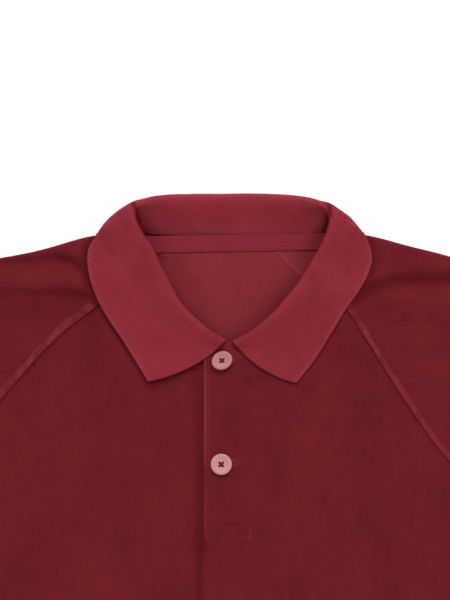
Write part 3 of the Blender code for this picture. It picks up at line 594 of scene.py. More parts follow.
class Nodes:
    """Adds nodes to a material and joins them."""

    def __init__(self, name):
        self.made = bpy.data.materials.new(name)
        self.made.use_nodes = True
        self.tree = self.made.node_tree
        self.shader = self.tree.nodes["Principled BSDF"]

    def put(self, socket, value):
        """Links another node's output, or sets a fixed value."""
        if hasattr(value, "is_output"):
            self.tree.links.new(value, socket)
        else:
            socket.default_value = value

    def add(self, kind, values=(), **settings):
        node = self.tree.nodes.new("ShaderNode" + kind)
        for key, value in settings.items():
            setattr(node, key, value)
        for key, value in dict(values).items():
            self.put(node.inputs[key], value)
        return node

    def coords(self, scale):
        """Places on the object, in metres times a scale: one number, or one for each of x, y and z."""
        source = self.add("TexCoord").outputs["Object"]
        scale = scale if isinstance(scale, tuple) else (scale,) * 3
        return self.add("Mapping", {"Vector": source, "Scale": scale}).outputs["Vector"]

    def noise(self, scale, detail=2, rough=0.5):
        values = {"Vector": self.coords(scale), "Scale": 1, "Detail": detail, "Roughness": rough}
        return self.add("TexNoise", values).outputs["Fac"]

    def stored(self, layer):
        """The two numbers that a mesh stores for each point."""
        place = self.add("UVMap", uv_map=layer).outputs["UV"]
        return self.add("SeparateXYZ", {"Vector": place}).outputs

    def ramp(self, value, low, high, out_low=0, out_high=1):
        values = {"Value": value, "From Min": low, "From Max": high, "To Min": out_low, "To Max": out_high}
        return self.add("MapRange", values).outputs["Result"]

    def swing(self, noise, reach, low=0.3):
        """A noise spread out from -reach to reach."""
        return self.ramp(noise, low, 1 - low, -reach, reach)

    def maths(self, how, a, b=0):
        return self.add("Math", {0: a, 1: b}, operation=how).outputs[0]

    def times(self, a, b):
        return self.maths("MULTIPLY", a, b)

    def total(self, first, *others):
        for other in others:
            first = self.maths("ADD", first, other)
        return first

    def blend(self, share, *ends):
        first, second = (end if hasattr(end, "is_output") else (*end, 1) for end in ends)
        return self.add("Mix", {0: share, 6: first, 7: second}, data_type="RGBA").outputs[2]

    def mottled(self, colour, parts, reach, dark, light):
        """A colour that a sum of parts, from -reach to reach, makes darker or lighter."""
        share = self.ramp(self.total(*parts), -reach, reach)
        return self.blend(share, tinted(colour, dark), tinted(colour, light))

    def painted_and_worn(self, plain, colour, grain):
        """Lighter for rubbed pile and painted highlights, where the first stored number says; darker with
        painted shade, where the second says.
        """
        light, dark, _ = self.stored("wear")
        rubbed_and_lit = self.times(light, self.ramp(grain, 0.3, 0.7, 0.75, 1.15))
        lighter = self.blend(rubbed_and_lit, plain, tinted(colour, *RUBBED_AND_LIT_TINT))
        return self.blend(dark, lighter, tinted(colour, *PAINTED_SHADE_TINT))

    def finish(self, colour, roughness, height=None, strength=0, distance=0, **sockets):
        """height is seen as a bump of a strength, up to a distance in metres."""
        for key, value in {"Base_Color": colour, "Roughness": roughness, **sockets}.items():
            self.put(self.shader.inputs[key.replace("_", " ")], value)
        if height is not None:
            bump = self.add("Bump", {"Height": height, "Strength": strength, "Distance": distance})
            self.put(self.shader.inputs["Normal"], bump.outputs["Normal"])
        return self.made


def tinted(colour, *shares):
    return tuple(channel * share for channel, share in zip(colour, shares if len(shares) > 1 else shares * 3))


def pile(name, colour, along_x=False):
    """Short brushed pile: fine streaks along the grain, small blotches where it lies another way."""
    n = Nodes(name)
    fine = (170, 800, 400) if along_x else (800, 170, 400)
    streak, nap, blotch = n.noise(fine, 2, 0.6), n.noise(2100, 1), n.noise((120, 90, 100), 3, 0.6)
    across = n.add("SeparateXYZ", {"Vector": n.coords(1)}).outputs[int(along_x)]
    drift = n.ramp(n.noise(60, 1), 0, 1, -4, 4)
    wale = n.maths("SINE", n.total(n.times(across, 2 * math.pi / WALE), drift))
    shown = n.ramp(n.noise((170, 60, 110)), 0.45, 0.6)
    plain = n.mottled(colour, (
        n.swing(streak, 0.26),
        n.swing(n.noise(tinted(fine, 0.4)), 0.14, 0.35),
        n.times(n.times(wale, 0.3), shown),
        n.swing(nap, 0.3, 0.35),
        n.swing(blotch, 0.2, 0.35),
        n.swing(n.noise((26, 17, 20), 3, 0.55), 0.42),
    ), 1.3, 0.68, 1.27)
    height = n.total(n.ramp(streak, 0.2, 0.8), n.ramp(nap, 0.2, 0.8, 0, 0.5))
    return n.finish(n.painted_and_worn(plain, colour, nap), n.ramp(blotch, 0.3, 0.7, 0.85, 0.97), height, 0.3, 0.0002,
                    Sheen_Weight=0.05, Sheen_Roughness=0.5, Sheen_Tint=SHEEN, Specular_IOR_Level=0.08)


def jersey(name, colour):
    """The smoother inside of the cloth, with fine upright wales."""
    n = Nodes(name)
    wale, fleck = n.noise((1150, 120, 400), 1), n.noise(420, 2, 0.6)
    parts = n.swing(wale, 0.22), n.swing(fleck, 0.25), n.swing(n.noise((30, 22, 26), 3), 0.4)
    painted_and_worn = n.painted_and_worn(n.mottled(colour, parts, 1, 0.84, 1.16), colour, fleck)
    return n.finish(painted_and_worn, 0.92, n.ramp(wale, 0.2, 0.8), 0.2, 0.00015,
                    Sheen_Weight=0.04, Sheen_Tint=SHEEN, Specular_IOR_Level=0.08)


def ribbed(name, colour):
    """Flat-knitted rib: its valleys are painted darker as shade, and the yarn is slightly heathered."""
    n = Nodes(name)
    wave, loops = (n.maths("SINE", n.times(part, 2 * math.pi * RIBS_IN_UV))
                   for part in n.stored("strip")[:2])
    fleck = n.noise(620, 2, 0.6)
    parts = (n.ramp(wave, -1, 1, -0.06, 0.06), n.swing(fleck, 0.5), n.swing(n.noise((30, 26, 30), 3), 0.5),
             n.swing(n.noise(150, 2, 0.6), 0.3))
    painted_and_worn = n.painted_and_worn(n.mottled(colour, parts, 1.1, 0.84, 1.16), colour, fleck)
    raised = (n.ramp(part, -1, 1, 0, 0.2) for part in (wave, loops))
    height = n.total(*raised, n.ramp(fleck, 0.2, 0.8, 0, 0.4))
    return n.finish(painted_and_worn, 0.9, height, 0.4, 0.00025,
                    Sheen_Weight=0.05, Sheen_Tint=(0.95, 0.3, 0.4, 1), Specular_IOR_Level=0.1)


def woven(name, colour):
    """Herringbone tape: its ribs are modelled, and this is the yarn on them."""
    n = Nodes(name)
    fleck = n.noise(900, 2, 0.6)
    plain = n.mottled(colour, (n.swing(fleck, 0.5), n.swing(n.noise(60), 0.4)), 0.9, 0.88, 1.12)
    return n.finish(n.painted_and_worn(plain, colour, fleck), 0.9, n.ramp(fleck, 0.2, 0.8), 0.3, 0.0002,
                    Specular_IOR_Level=0.08)


def yarn(name, colour, gloss=0.25):
    """Twisted sewing thread."""
    n = Nodes(name)
    twist = n.noise(1900, 1)
    base = n.blend(n.ramp(twist, 0.3, 0.7), tinted(colour, 0.85), tinted(colour, 1.15))
    return n.finish(base, 0.75, n.ramp(twist, 0.2, 0.8), 0.3, 0.0001, Specular_IOR_Level=gloss)


def polished(name, colour):
    """Cloudy pink plastic, turned and polished."""
    n = Nodes(name)
    fine = n.noise(1500, 1)
    parts = n.swing(n.noise((260, 150, 200), 3, 0.55), 0.6), n.swing(fine, 0.12)
    return n.finish(n.mottled(colour, parts, 0.8, 0.9, 1.08), n.ramp(fine, 0.3, 0.7, 0.42, 0.52),
                    n.ramp(fine, 0.2, 0.8), 0.05, 0.0001, Specular_IOR_Level=0.35)


BODY_RED = (0.134, 0.0092, 0.0150)
INSIDE_RED = (0.193, 0.0190, 0.0280)
RIB_RED = (0.216, 0.0182, 0.0298)
TAPE_RED = (0.198, 0.0170, 0.0290)
THREAD_RED = (0.190, 0.0190, 0.0290)
BUTTON_PINK = (0.490, 0.232, 0.230)

BODY = pile("burgundy_pile", BODY_RED)
SLEEVE = pile("burgundy_pile_sleeve", BODY_RED, along_x=True)
INSIDE = jersey("burgundy_inside", INSIDE_RED)
RIBBED = ribbed("burgundy_rib", RIB_RED)
WOVEN = woven("burgundy_herringbone", TAPE_RED)
YARN = yarn("burgundy_thread", THREAD_RED)
HOLE_YARN = yarn("buttonhole_thread", tinted(THREAD_RED, 0.84), 0.08)
BODY_YARN = yarn("placket_thread", tinted(BODY_RED, 1.12))
DARK_YARN = yarn("button_thread", (0.215, 0.014, 0.030), 0.1)
# The top button: the same pink plastic as the other, painted darker and redder as shade.
PINK = {"button_1": polished("pink_plastic_shaded", tinted(BUTTON_PINK, 0.86, 0.65, 0.69)),
        "button_2": polished("pink_plastic", BUTTON_PINK)}


def dress(piece, node=None):
    """Says what a piece rides on, and hides the solid that it stands for."""
    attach(piece, "root")
    if node:
        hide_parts(node)
    return piece


# ---- front and back


def seam_distance(raglan, x, y, step=3):
    return distance_to(fine_curve(raglan)[::step], x, y)


def neck_shade(x, y):
    """Stronger close under the collar's fold, inside the neck."""
    fold = drawn_in(np.array(COLLAR_ROWS)[:, 2:4])
    away = np.minimum(distance_to(fold[1:10], x, y), distance_to(fold[17:-1], x, y))
    return bell(away / NECK_NEAR) + 0.35 * bell(away / NECK_FAR) + shaded(x, y, NECK_CORNERS)


def front_surface(x, y):
    """The front panel's upper side with what its seams and hem do to it."""
    z = front_height(x, y) + hem_relief(y - HEM_Y)
    beside = SLIT_LEFT - x
    at_slit = np.where(beside > 0, 0.30 * bell(beside / 1.6), 1)
    below = smoothstep(SLIT_LEFT - 4, SLIT_LEFT + 5, x)
    under_slit = smoothstep(-SLIT_FOOT_Y, 16 - SLIT_FOOT_Y, -y)
    z = z + (at_slit + under_slit * (below - at_slit)) * placket_lift(x, y)
    for number, raglan in enumerate(FRONT_RAGLAN.values()):
        away = seam_distance(raglan, x, y)
        pucker = wander(np.abs(x) * 1.45 + 0.2 * y, 5.5, 20 + number)
        z = z + SEAM_PUCKER * pucker * bell(away / 5) - SEAM_SINK * bell(away / 1.6)
    return z


def widened(x_top, x_hem, y):
    """A panel's columns, drawn out from the armpits down to its hem."""
    return x_top + np.clip((y - ARMPIT[1]) / (HEM_Y - ARMPIT[1]), 0, 1) * (x_hem - x_top)


def make_front():
    junction = FRONT_NECK[-1][0]
    counts = [20, 44, 22, 14, 24, 44, 20]
    x_top = stations([-ARMPIT[0], -165, -junction, SLIT_LEFT, SLIT_RIGHT, junction, 165, ARMPIT[0]], counts)
    slit_start, slit_end = sum(counts[:3]) + 1, sum(counts[:4])
    x_hem = x_top * HEM_X / ARMPIT[0]
    x_hem[slit_start - 1:slit_end + 1] = x_top[slit_start - 1:slit_end + 1]
    middle = SLIT_FOOT_Y - 110 * smoothstep(SLIT_RIGHT + 16, ARMPIT[0], np.abs(x_top))
    top = front_top_y(x_top)
    near = np.array([0, 0.5, 1, 1.6, 2.3, 3.2, 4.4, 6, 8])[:, None] / (top - middle)
    upper = np.vstack([near, near[-1] + np.linspace(0, 1, 55)[1:, None] * (1 - near[-1])])
    lower = stations([0, 0.1, 0.94, 1], [17, 65, 29])[1:, None]
    y = np.vstack([top - upper * (top - middle), middle + lower * (HEM_Y - middle)])
    x = widened(x_top, x_hem, y)
    left_out = np.zeros((len(y) - 1, len(x_top) - 1), bool)
    left_out[: len(upper) - 1, slit_start:slit_end] = True
    seam = np.minimum(*(seam_distance(raglan, x, y) for raglan in FRONT_RAGLAN.values()))
    # Painted shade along the raglan seams, deeper on the left, with the body's painted shade and painted
    # light.
    painted_seam_shade = (0.18 + 0.18 * smoothstep(20, -20, x)) * bell(seam / 2)
    wear = joined(shaded(x, y, BODY_LIGHT), painted_seam_shade + shaded(x, y, BODY_SHADE))
    points = joined(x, y, front_surface(x, y))
    return dress(shell("front_cloth", points, CLOTH, [BODY, INSIDE], left_out=left_out, wear=wear), "front")


def make_back():
    neck = [line[0][0] for line in BACK_RAGLAN.values()]
    x_top = stations([-ARMPIT[0], -90, *neck, 90, ARMPIT[0]], [34, 36, 32, 40, 34])
    long = BACK_NECK_Y - HEM_Y
    top = top_y(x_top, BACK_RAGLAN)
    y = top + stations([0, 4, 28, 110, long], [6, 16, 36, 90])[::-1, None] / long * (HEM_Y - top)
    x = widened(x_top, x_top * HEM_X / ARMPIT[0], y)
    seam = np.minimum(*(seam_distance(raglan, x, y, 4) for raglan in BACK_RAGLAN.values()))
    loose = 0.25 * np.maximum(uneven(x * 1.6, y * 1.6), 0) + folds(INSIDE_FOLDS, x, y)
    z = back_height(x, y) + 0.15 * bell(seam / 1.2) + np.where(y > -95, loose, 0)
    # Painted shade inside the neck, close under the collar's fold.
    wear = joined(np.zeros(x.shape), NECK_DARK * neck_shade(x, y))
    return dress(shell("back_cloth", joined(x, y, z), CLOTH, [BODY, INSIDE], wear=wear), "back")


# ---- sleeves


def make_sleeve(side):
    """From the front raglan edge over the shoulder fold to the back one, with a raised seam band."""
    sign = -1 if side == "left" else 1
    mirror, armpit_share = np.array([sign, 1]), 0.8
    s = stations([0, 0.36, armpit_share, 1], [92, 44, 26])
    edge = fine_curve(SHOULDER_EDGE)
    shoulder = at_shares(edge - SHOULDER_ROLL * side_normals(edge), s) * mirror
    outward = at_shares(side_normals(edge), s) * mirror

    def layer(raglan, near, count):
        """Rows from the shoulder to a raglan seam and the underarm, the last ones at set distances."""
        under = np.linspace(ARMPIT, CUFF_FOOT, 12) * mirror
        foot = np.vstack([at_shares(fine_curve(raglan), s[s <= armpit_share] / armpit_share),
                          at_shares(under, (s[s > armpit_share] - armpit_share) / (1 - armpit_share))])
        foot = foot + SEAM_GAP * sign * side_normals(foot)
        reach = np.linalg.norm(foot - shoulder, axis=1)
        fine = 1 - np.asarray(near)[::-1, None] / reach
        t = np.vstack([np.linspace(0, 1, count, endpoint=False)[:, None] * fine[0], fine])
        return shoulder * (1 - t[..., None]) + foot * t[..., None], (1 - t) * reach, lengths(foot)

    near_front = [0, 0.35, 0.8, 1.4, 2.1, 2.8, 3.5, 4.1, 4.6, 5, 5.5, 6.2, 7.4, 9, 11.5]
    front, away, along = layer(FRONT_RAGLAN[side], near_front, 46)
    back, away_back, _ = layer(BACK_RAGLAN[side], [0, 0.5, 1.2, 2.2, 4], 34)

    on_seam = s <= armpit_share + 0.003
    seed = 40 if side == "left" else 60
    width = BAND[side] + BAND_WAVER * wander(along, 7, seed)
    rise = BAND_RISE * (1 + 0.32 * wander(along, 9, seed + 1))
    band = rise * smoothstep(-0.1, 0.8, away) * (1 - smoothstep(width - 0.5, width + 0.6, away))
    band += BAND_LUMP * wander(along + 0.9 * away, 3.1, seed + 2) * bell((away - 2.4) / 2.6)
    for place in np.cumsum(np.random.default_rng(seed + 3).uniform(*DENT_PITCH, 60)):
        across = along - place - 0.55 * (away - 2.4)
        band -= BAND_DENT * bell(across / 0.75) * np.exp(-(((away - 2.6) / 2.6) ** 4))
    pucker = SLEEVE_PUCKER * wander(along, 6.5, seed + 4)
    pucker = pucker * bell((away - BAND[side]) / 5.5) * (away > BAND[side])
    dip = -SLEEVE_DIP * bell((away - width - 1.2) / 1.1)
    x, y = front[..., 0], front[..., 1]
    z = front_height(x, y) + np.where(on_seam, band + pucker + dip, 0) + hem_relief(cuff_distance(x, y))
    front = np.dstack([front, z - 0.12 * bell(away / 0.4)])
    back = np.dstack([back, back_height(back[..., 0], back[..., 1]) + 0.15 * bell(away_back / 1.2)])
    top, foot = front[0, :, 2:], back[0, :, 2:]
    roll = [np.hstack([shoulder + SHOULDER_ROLL * math.cos(turn) * outward,
                       (top + foot) / 2 + (top - foot) / 2 * math.sin(turn)])
            for turn in np.radians(np.linspace(90, -90, 15)[1:-1])]
    points = np.concatenate([front[::-1], np.array(roll), back])

    wear, rows = np.zeros((*points.shape[:2], 2)), len(front)
    # The raised seam band is lighter: rubbed pile with a painted highlight on it.
    rubbed_and_lit = smoothstep(0.3, 1, away) * (1 - smoothstep(width - 0.7, width + 0.5, away))
    shown = 0.36 + 0.10 * smoothstep(96, 122, np.abs(x)) + 0.18 * wander(along + away, 4.3, seed + 5)
    rubbed_and_lit = np.clip(rubbed_and_lit * shown + 0.8 * (band - BAND_RISE), 0, 0.7)
    wear[:rows, :, 0] = np.where(on_seam, rubbed_and_lit, 0)[::-1]
    # Painted shade in the seam's groove.
    wear[:rows, :, 1] = (0.18 * bell(away / 0.4) * on_seam)[::-1]
    x, y, z = (points[..., axis] for axis in range(3))
    # Painted shade on the shoulders' folds and beside the collar; lighter beside the back raglan seam;
    # painted shade inside the neck.
    wear[..., 1] += shaded(x, y, SLEEVE_SHADE) * (z > SHOULDER_ROLL)
    wear[-len(back):, :, 0] = 0.16 * (1 - smoothstep(3, 5, away_back))
    wear[rows:, :, 1] += NECK_DARK * neck_shade(x[rows:], y[rows:])
    near = distance_to(SHOULDER_EDGE, np.abs(x), y)
    points[..., 1] += np.interp(x, *zip(*SHOULDER_TRIM)) * bell(near / 16)
    if side == "right":
        points, wear = points[:, ::-1], wear[:, ::-1]
    return dress(shell(f"sleeve_{side}_cloth", points, CLOTH, [SLEEVE, INSIDE], wear=wear), f"sleeve_{side}")


# ---- collar


def drawn_in(points):
    """Moves the collar's edges in plan, each point as the table's nearest rows say."""
    moved, total = np.zeros((*points.shape[:-1], 2)), np.zeros(points.shape[:-1])
    for x, y, right, up in DRAWN_IN:
        share = np.exp(-(((points[..., 0] - x) ** 2 + (points[..., 1] - y) ** 2) / DRAWN_REACH**2))
        moved += share[..., None] * [right, up]
        total += share
    made = np.array(points, float)
    made[..., :2] += moved / np.maximum(total, 1)[..., None]
    return made


def lie_on_front(points, first):
    """Lifts the fall off the front and the shoulders' folds, and keeps it off the ground behind them."""
    x, y, z = (points[first:, :, axis] for axis in range(3))
    shoulder = fine_curve(SHOULDER_EDGE)
    axis_y = np.interp(np.abs(x), shoulder[:, 0], shoulder[:, 1]) - SHOULDER_ROLL
    axis_z = back_height(x, y) + SHOULDER_ROLL
    standoff = GAP + RIB / 2 + 0.1
    inside = y < axis_y
    z = np.where(inside & (z > axis_z), np.maximum(z, front_ground(x, y) + standoff), z)
    z = np.where(inside & (z <= axis_z), RIB / 2, z)
    away = np.hypot(y - axis_y, z - axis_z)
    near = ~inside & (np.abs(x) > NECK_POINT[0]) & (away < SHOULDER_ROLL + standoff)
    push = np.where(near, (SHOULDER_ROLL + standoff) / away, 1)
    points[first:, :, 1] = axis_y + push * (y - axis_y)
    points[first:, :, 2] = np.maximum(axis_z + push * (z - axis_z), RIB / 2 + 0.2)
    return points


def trimmed_to_outline(points):
    """Draws the shoulder corners and the rolled back in to one smooth outline."""
    def polar(flat):
        return np.arctan2(flat[..., 1], flat[..., 0]), np.linalg.norm(flat, axis=-1)

    flat = points[..., :2] - OUTLINE_CENTRE
    angle, reach = polar(flat)
    wanted_angle, wanted = (part[::-1] for part in polar(fine_curve(OUTLINE) - OUTLINE_CENTRE))
    first, last = wanted_angle[0], wanted_angle[-1]
    bins = np.linspace(first, last, 420)
    half = 0.7 * (bins[1] - bins[0])
    widest = np.array([reach[np.abs(angle - turn) < half].max() for turn in bins])
    ratio = np.interp(angle, wanted_angle, wanted - RIB / 2) / np.interp(angle, bins, widest)
    ends = smoothstep(first - 0.02, first + 0.05, angle) * (1 - smoothstep(last - 0.05, last + 0.02, angle))
    outer = smoothstep(0.72, 0.96, reach / np.interp(angle, bins, widest))
    points[..., :2] = OUTLINE_CENTRE + flat * (1 + (ratio - 1) * ends * outer)[..., None]
    return points


def collar_middle(rows, pitch):
    """Middle of the collar's wall, without its ribs: stand, roll and fall of each row of the table."""
    (seam_x, seam_y), fold, edge = rows[:, :2].T, rows[:, 2:5], rows[:, 7:10]
    on_back = smoothstep(-4.4, -1.9, seam_y)
    over_placket = front_ground(seam_x, seam_y) - CLOTH / 2
    under = back_height(seam_x, seam_y) + CLOTH / 2
    seam = joined(seam_x, seam_y, over_placket + on_back * (under - over_placket))
    roll_way, edge_way = direction(*rows[:, 5:7].T), direction(*rows[:, 10:].T)
    inward = unit(np.cross(roll_way, unit(np.gradient(fold, axis=0))))
    tuck = (-pitch / 90)[:, None]
    radius_in, radius_out, turn_out, rise = (
        front + tuck * (behind - front) for front, behind in (RADIUS_IN, RADIUS_OUT, TURN_OUT, STAND_RISE)
    )
    turn_out, rise = np.radians(turn_out), np.radians(rise)

    def on_roll(radius, turn):
        place = fold + radius * (np.sin(turn) * roll_way + (1 - np.cos(turn)) * inward)
        return place, np.cos(turn) * roll_way + np.sin(turn) * inward

    quarter = np.full_like(tuck, -math.pi / 2)
    start, start_way = on_roll(radius_in, quarter)
    reach = np.linalg.norm(start - seam, axis=-1, keepdims=True)
    seam_way = np.cos(rise) * unit((start - seam) * [1, 1, 0]) + np.sin(rise) * np.array([0, 0, 1])
    stand = bezier(seam, seam + STAND_HANDLES[0] * reach * seam_way,
                   start - STAND_HANDLES[1] * reach * start_way, start, STAND_CELLS)
    leave, leave_way = on_roll(radius_out, turn_out)
    reach = np.linalg.norm(edge - leave, axis=-1, keepdims=True)
    bulge = 4 * tuck * (1 - tuck)
    handle_out, handle_in = (
        plain + bulge * (full - plain) for plain, full in (LEAF_HANDLE_OUT, LEAF_HANDLE_IN)
    )
    leaf = bezier(leave, leave + handle_out * reach * leave_way,
                  edge - handle_in * reach * edge_way, edge, LEAF_CELLS)
    roll = [on_roll(radius_in, quarter * (1 - k / ROLL_IN_CELLS))[0] for k in range(1, ROLL_IN_CELLS + 1)]
    roll += [on_roll(radius_out, turn_out * k / ROLL_OUT_CELLS)[0] for k in range(1, ROLL_OUT_CELLS + 1)]
    points = drawn_in(np.concatenate([seam[None], stand, roll, leaf]))
    return trimmed_to_outline(lie_on_front(points, 1 + STAND_CELLS + ROLL_IN_CELLS))


def make_collar():
    """Stand and fall in one, four points to each rib. Its ribs are strongest on the stand."""
    spot = np.linspace(0, len(COLLAR_ROWS) - 1, 2000)
    fold_length = lengths(spline_at(COLLAR_ROWS, spot)[:, 2:5])
    ribs = int(round(fold_length[-1] / RIB_PITCH))
    even = np.linspace(0, fold_length[-1], 4 * ribs + 1)
    rows = spline_at(COLLAR_ROWS, np.interp(even, fold_length, spot))
    pitch = rows[:, 6]
    points = collar_middle(rows, pitch)

    phase = 2 * math.pi * np.linspace(0, ribs, 4 * ribs + 1)
    wave = np.cos(phase)
    points[-1] += RIB_TOOTH * wave[:, None] * unit(points[-1] - points[-2])
    place = np.arange(len(points))[:, None] / (len(points) - 1)
    at_fold = (STAND_CELLS + ROLL_IN_CELLS) / (len(points) - 1)
    on_stand = 1 - smoothstep(0.6 * at_fold, at_fold, place)
    at_rim = smoothstep(0.92, 1, place) + bell((place - 1.25 * at_fold) / 0.08)
    strong = RIB_DEPTH[0] + RIB_DEPTH[1] * on_stand + RIB_DEPTH[2] * at_rim
    across = lengths(points)
    sag = LEAF_SAG * wander(even + 0.35 * across, 26, 90) * smoothstep(0.45, 0.7, place)
    sag = np.maximum(sag, -0.1) * (pitch > -30)
    points = points - grid_normals(points) * (strong * wave + sag)[..., None]

    strip = np.stack([np.broadcast_to(phase / (2 * math.pi) / RIBS_IN_UV, across.shape),
                      across / RIBS_IN_UV / LOOP_PITCH], axis=-1)
    wear = np.zeros(strip.shape)
    light, dark = wear[..., 0], wear[..., 1]
    tooth, valley, tuck = np.clip(0.5 - 0.6 * wave, 0, 1), np.clip(0.5 + 0.5 * wave, 0, 1), -pitch / 90
    # Painted highlight on the rib ends that stand out of the outer edge.
    light[-1], light[-2] = 0.85 * tooth, 0.30 * tooth
    stand, turned = 1 + STAND_CELLS, ROLL_IN_CELLS + ROLL_OUT_CELLS
    # On the stand: painted shade in the rib valleys, painted light along its foot and on the rib crests, and
    # a painted highlight on the roll behind the neck.
    dark[:stand] = 0.20 * valley
    light[:stand] = 0.22 * bell((np.arange(stand)[:, None] - 1) / 1.4) + 0.06 * (1 - valley)
    light[stand - 1:stand + turned] += 0.34 * tuck
    light[stand - 2] += 0.06 * tuck
    inner, outer, roll = slice(stand + 2), slice(stand + 2, None), slice(stand + 2, stand + 2 + turned)
    # Painted shade at the stand's corners, on the roll at the corners and on the leaves; painted light on the
    # stand and the leaves.
    x, y = points[..., 0], points[..., 1]
    for layer, part, table in ((dark, inner, STAND_SHADE), (light, inner, STAND_LIGHT),
                               (dark, outer, LEAF_SHADE), (dark, roll, CORNER_SHADE)):
        layer[part] += shaded(x[part], y[part], table)
    light[outer] += shaded(x[outer], y[outer], LEAF_LIGHT) * (pitch > -75)
    cloth = shell("collar_rib", points, RIB, [RIBBED], 0.55, middle=True, strip=strip, wear=wear)
    return dress(cloth, "collar")


# ---- plackets, tape, sewing and buttons


def placket_surface(x, y):
    """Upper side of the top placket: a rolled free edge, its stitch line, the box at its foot."""
    free = x - STRIP_LEFT
    z = front_height(x, y) + placket_lift(x, y) + folds(STRIP_CREASES, x, y)
    z = z + 0.35 * bell((free - 1) / 1.1) - 0.06 * bell((free - 2.4) / 0.5) - 0.25 * bell(free / 0.4)
    z = z + 0.16 * wander(y, 8, 11) * bell(free / 7) - 0.04 * bell(distance_to(BOX, x, y) / 0.7)
    sunk = smoothstep(SLIT_RIGHT + 0.6, STRIP_RIGHT, x) + smoothstep(-SLIT_FOOT_Y + 1, -STRIP_FOOT_Y, -y)
    return z + 0.08 - 0.9 * sunk


def make_placket_top():
    x = stations([STRIP_LEFT, STRIP_LEFT + 4.9, 9, STRIP_RIGHT], [13, 26, 13])
    top = front_top_y(x) - GAP / 2 + 1.2 * (1 - smoothstep(5, 11, np.abs(x)))
    y = top + stations([0, 0.86, 1], [104, 32])[:, None] * (STRIP_FOOT_Y - top)
    x = np.broadcast_to(x, y.shape)
    free = x - STRIP_LEFT
    # Painted highlight along the rolled free edge, with the strip's painted light, small light marks and
    # painted shade.
    bright = 0.32 + 0.62 * smoothstep(-165, -140, y) + 0.25 * wander(y, 9, 12) + 0.3 * bell((y + 120) / 16)
    light = smoothstep(-214, -196, y) * bright
    light = light * (1.2 * bell((free - 0.2) / 1.2) + 0.2 * bell((free - 3.2) / 0.8))
    light += shaded(x, y, STRIP_LIGHT)
    for mark_x, mark_y, size in STRIP_MARKS:
        light += 0.40 * bell(np.hypot(x - mark_x, y - mark_y) / size)
    wear = joined(light, shaded(x, y, STRIP_SHADE))
    points = joined(x, y, placket_surface(x, y))
    return dress(shell("placket_top_cloth", points, PLACKET, [BODY, INSIDE], 0.35, wear=wear), "placket_top")


def make_placket_under():
    x = np.linspace(SLIT_LEFT + GAP, UNDER_RIGHT, 12)
    top = front_top_y(x) - GAP / 2
    y = top + np.linspace(0, 1, 60)[:, None] * (UNDER_FOOT_Y - top)
    x = np.broadcast_to(x, y.shape)
    points = joined(x, y, front_height(x, y) - 0.1)
    return dress(shell("placket_under_cloth", points, CLOTH, [BODY, INSIDE]), "placket_under")


def tape_height(x, y):
    return back_height(x, y) + CLOTH + GAP + TAPE + 0.1


def tape_y(x, share):
    """From the tape's upper edge, at 0, to its lower one, at 1."""
    top, foot = -2 + 0.016 * x, -13.2 + 0.018 * x
    return top + share * (foot - top)


def make_tape():
    """Herringbone tape over the back neck seam, its ribs turning at the middle of each row."""
    across = np.linspace(0, 1, 31)[:, None]
    x = np.linspace(-TAPE_HALF, TAPE_HALF, 331) + 0 * across
    y = tape_y(x, across)
    twill = np.cos(2 * math.pi * (x / TAPE_TWILL + np.abs((across * 4) % 2 - 1) * 1.4))
    edge = smoothstep(0, 0.07, across) * (1 - smoothstep(0.93, 1, across))
    line = sum(bell((across - share) / 0.035) for share in TAPE_LINES)
    in_row = (across * 4) % 1 - 0.5
    turn = bell((in_row / 0.5 - np.sign(in_row)) / 0.16)
    z = tape_height(x, y) + edge * (0.13 * twill - 0.06 * turn) - 0.22 * line
    z = z + 0.12 * wander(x, 7, 31) * (1 - edge * 0.6) - 0.25 * (1 - edge)
    # Painted light on the twill's raised ribs, lighter along the tape's edges; painted shade between the
    # ribs, where they turn, in the sewing lines and at the tape's ends.
    light = 0.30 * edge * np.maximum(twill, 0) + 0.20 * (1 - edge)
    dark = 0.26 * edge * np.maximum(-twill, 0) + 0.16 * turn + 0.16 * line
    dark += 0.26 * bell((x + 58) / 9) + 0.26 * bell((x - 61) / 8)
    points, wear = joined(x, y, z), joined(light, dark)
    return dress(shell("neck_tape_cloth", points, TAPE, [WOVEN], 0.4, wear=wear), "neck_tape")


def sewn(corners, height):
    """A line of points on a surface, from its corners in plan."""
    line = np.asarray(corners, float)
    along = lengths(line)
    places = np.linspace(0, along[-1], max(int(along[-1] / SEWN_STEP), 2))
    x, y = at_lengths(line, along, places).T
    return joined(x, y, height(x, y))


def cuff_surface(x, y):
    return front_height(x, y) + hem_relief(cuff_distance(x, y))


def make_sewing():
    """Stitches of the hem, cuffs, placket and tape."""
    rows, top = [], np.array(CUFF_TOP)
    way = CUFF_FOOT - top
    for away in HEM_STITCHES:
        rows.append(sewn([(-HEM_X + 3, HEM_Y + away), (HEM_X - 3, HEM_Y + away)], front_surface))
        back = unit(np.array([-way[1], way[0]])) * -away
        ends = np.array([top + back + way * share for share in (0.03, 0.97)])
        rows += [sewn(ends * [sign, 1], cuff_surface) for sign in (-1, 1)]
    dress(stitches("hem_stitches", rows, YARN, *HEM_SEWING))
    edge_x = SLIT_LEFT + GAP + 2.1
    rows = [sewn(ends, placket_surface) for ends in ([(edge_x, -88), (edge_x, -199)], *zip(BOX, BOX[1:]))]
    dress(stitches("placket_stitches", rows, BODY_YARN, *PLACKET_SEWING))
    x, rows = np.linspace(4 - TAPE_HALF, TAPE_HALF - 4, 200), []
    for y in (tape_y(x, share) for share in TAPE_LINES):
        rows.append(joined(x, y, tape_height(x, y) - 0.18))
    dress(stitches("tape_stitches", rows, YARN, *TAPE_SEWING))


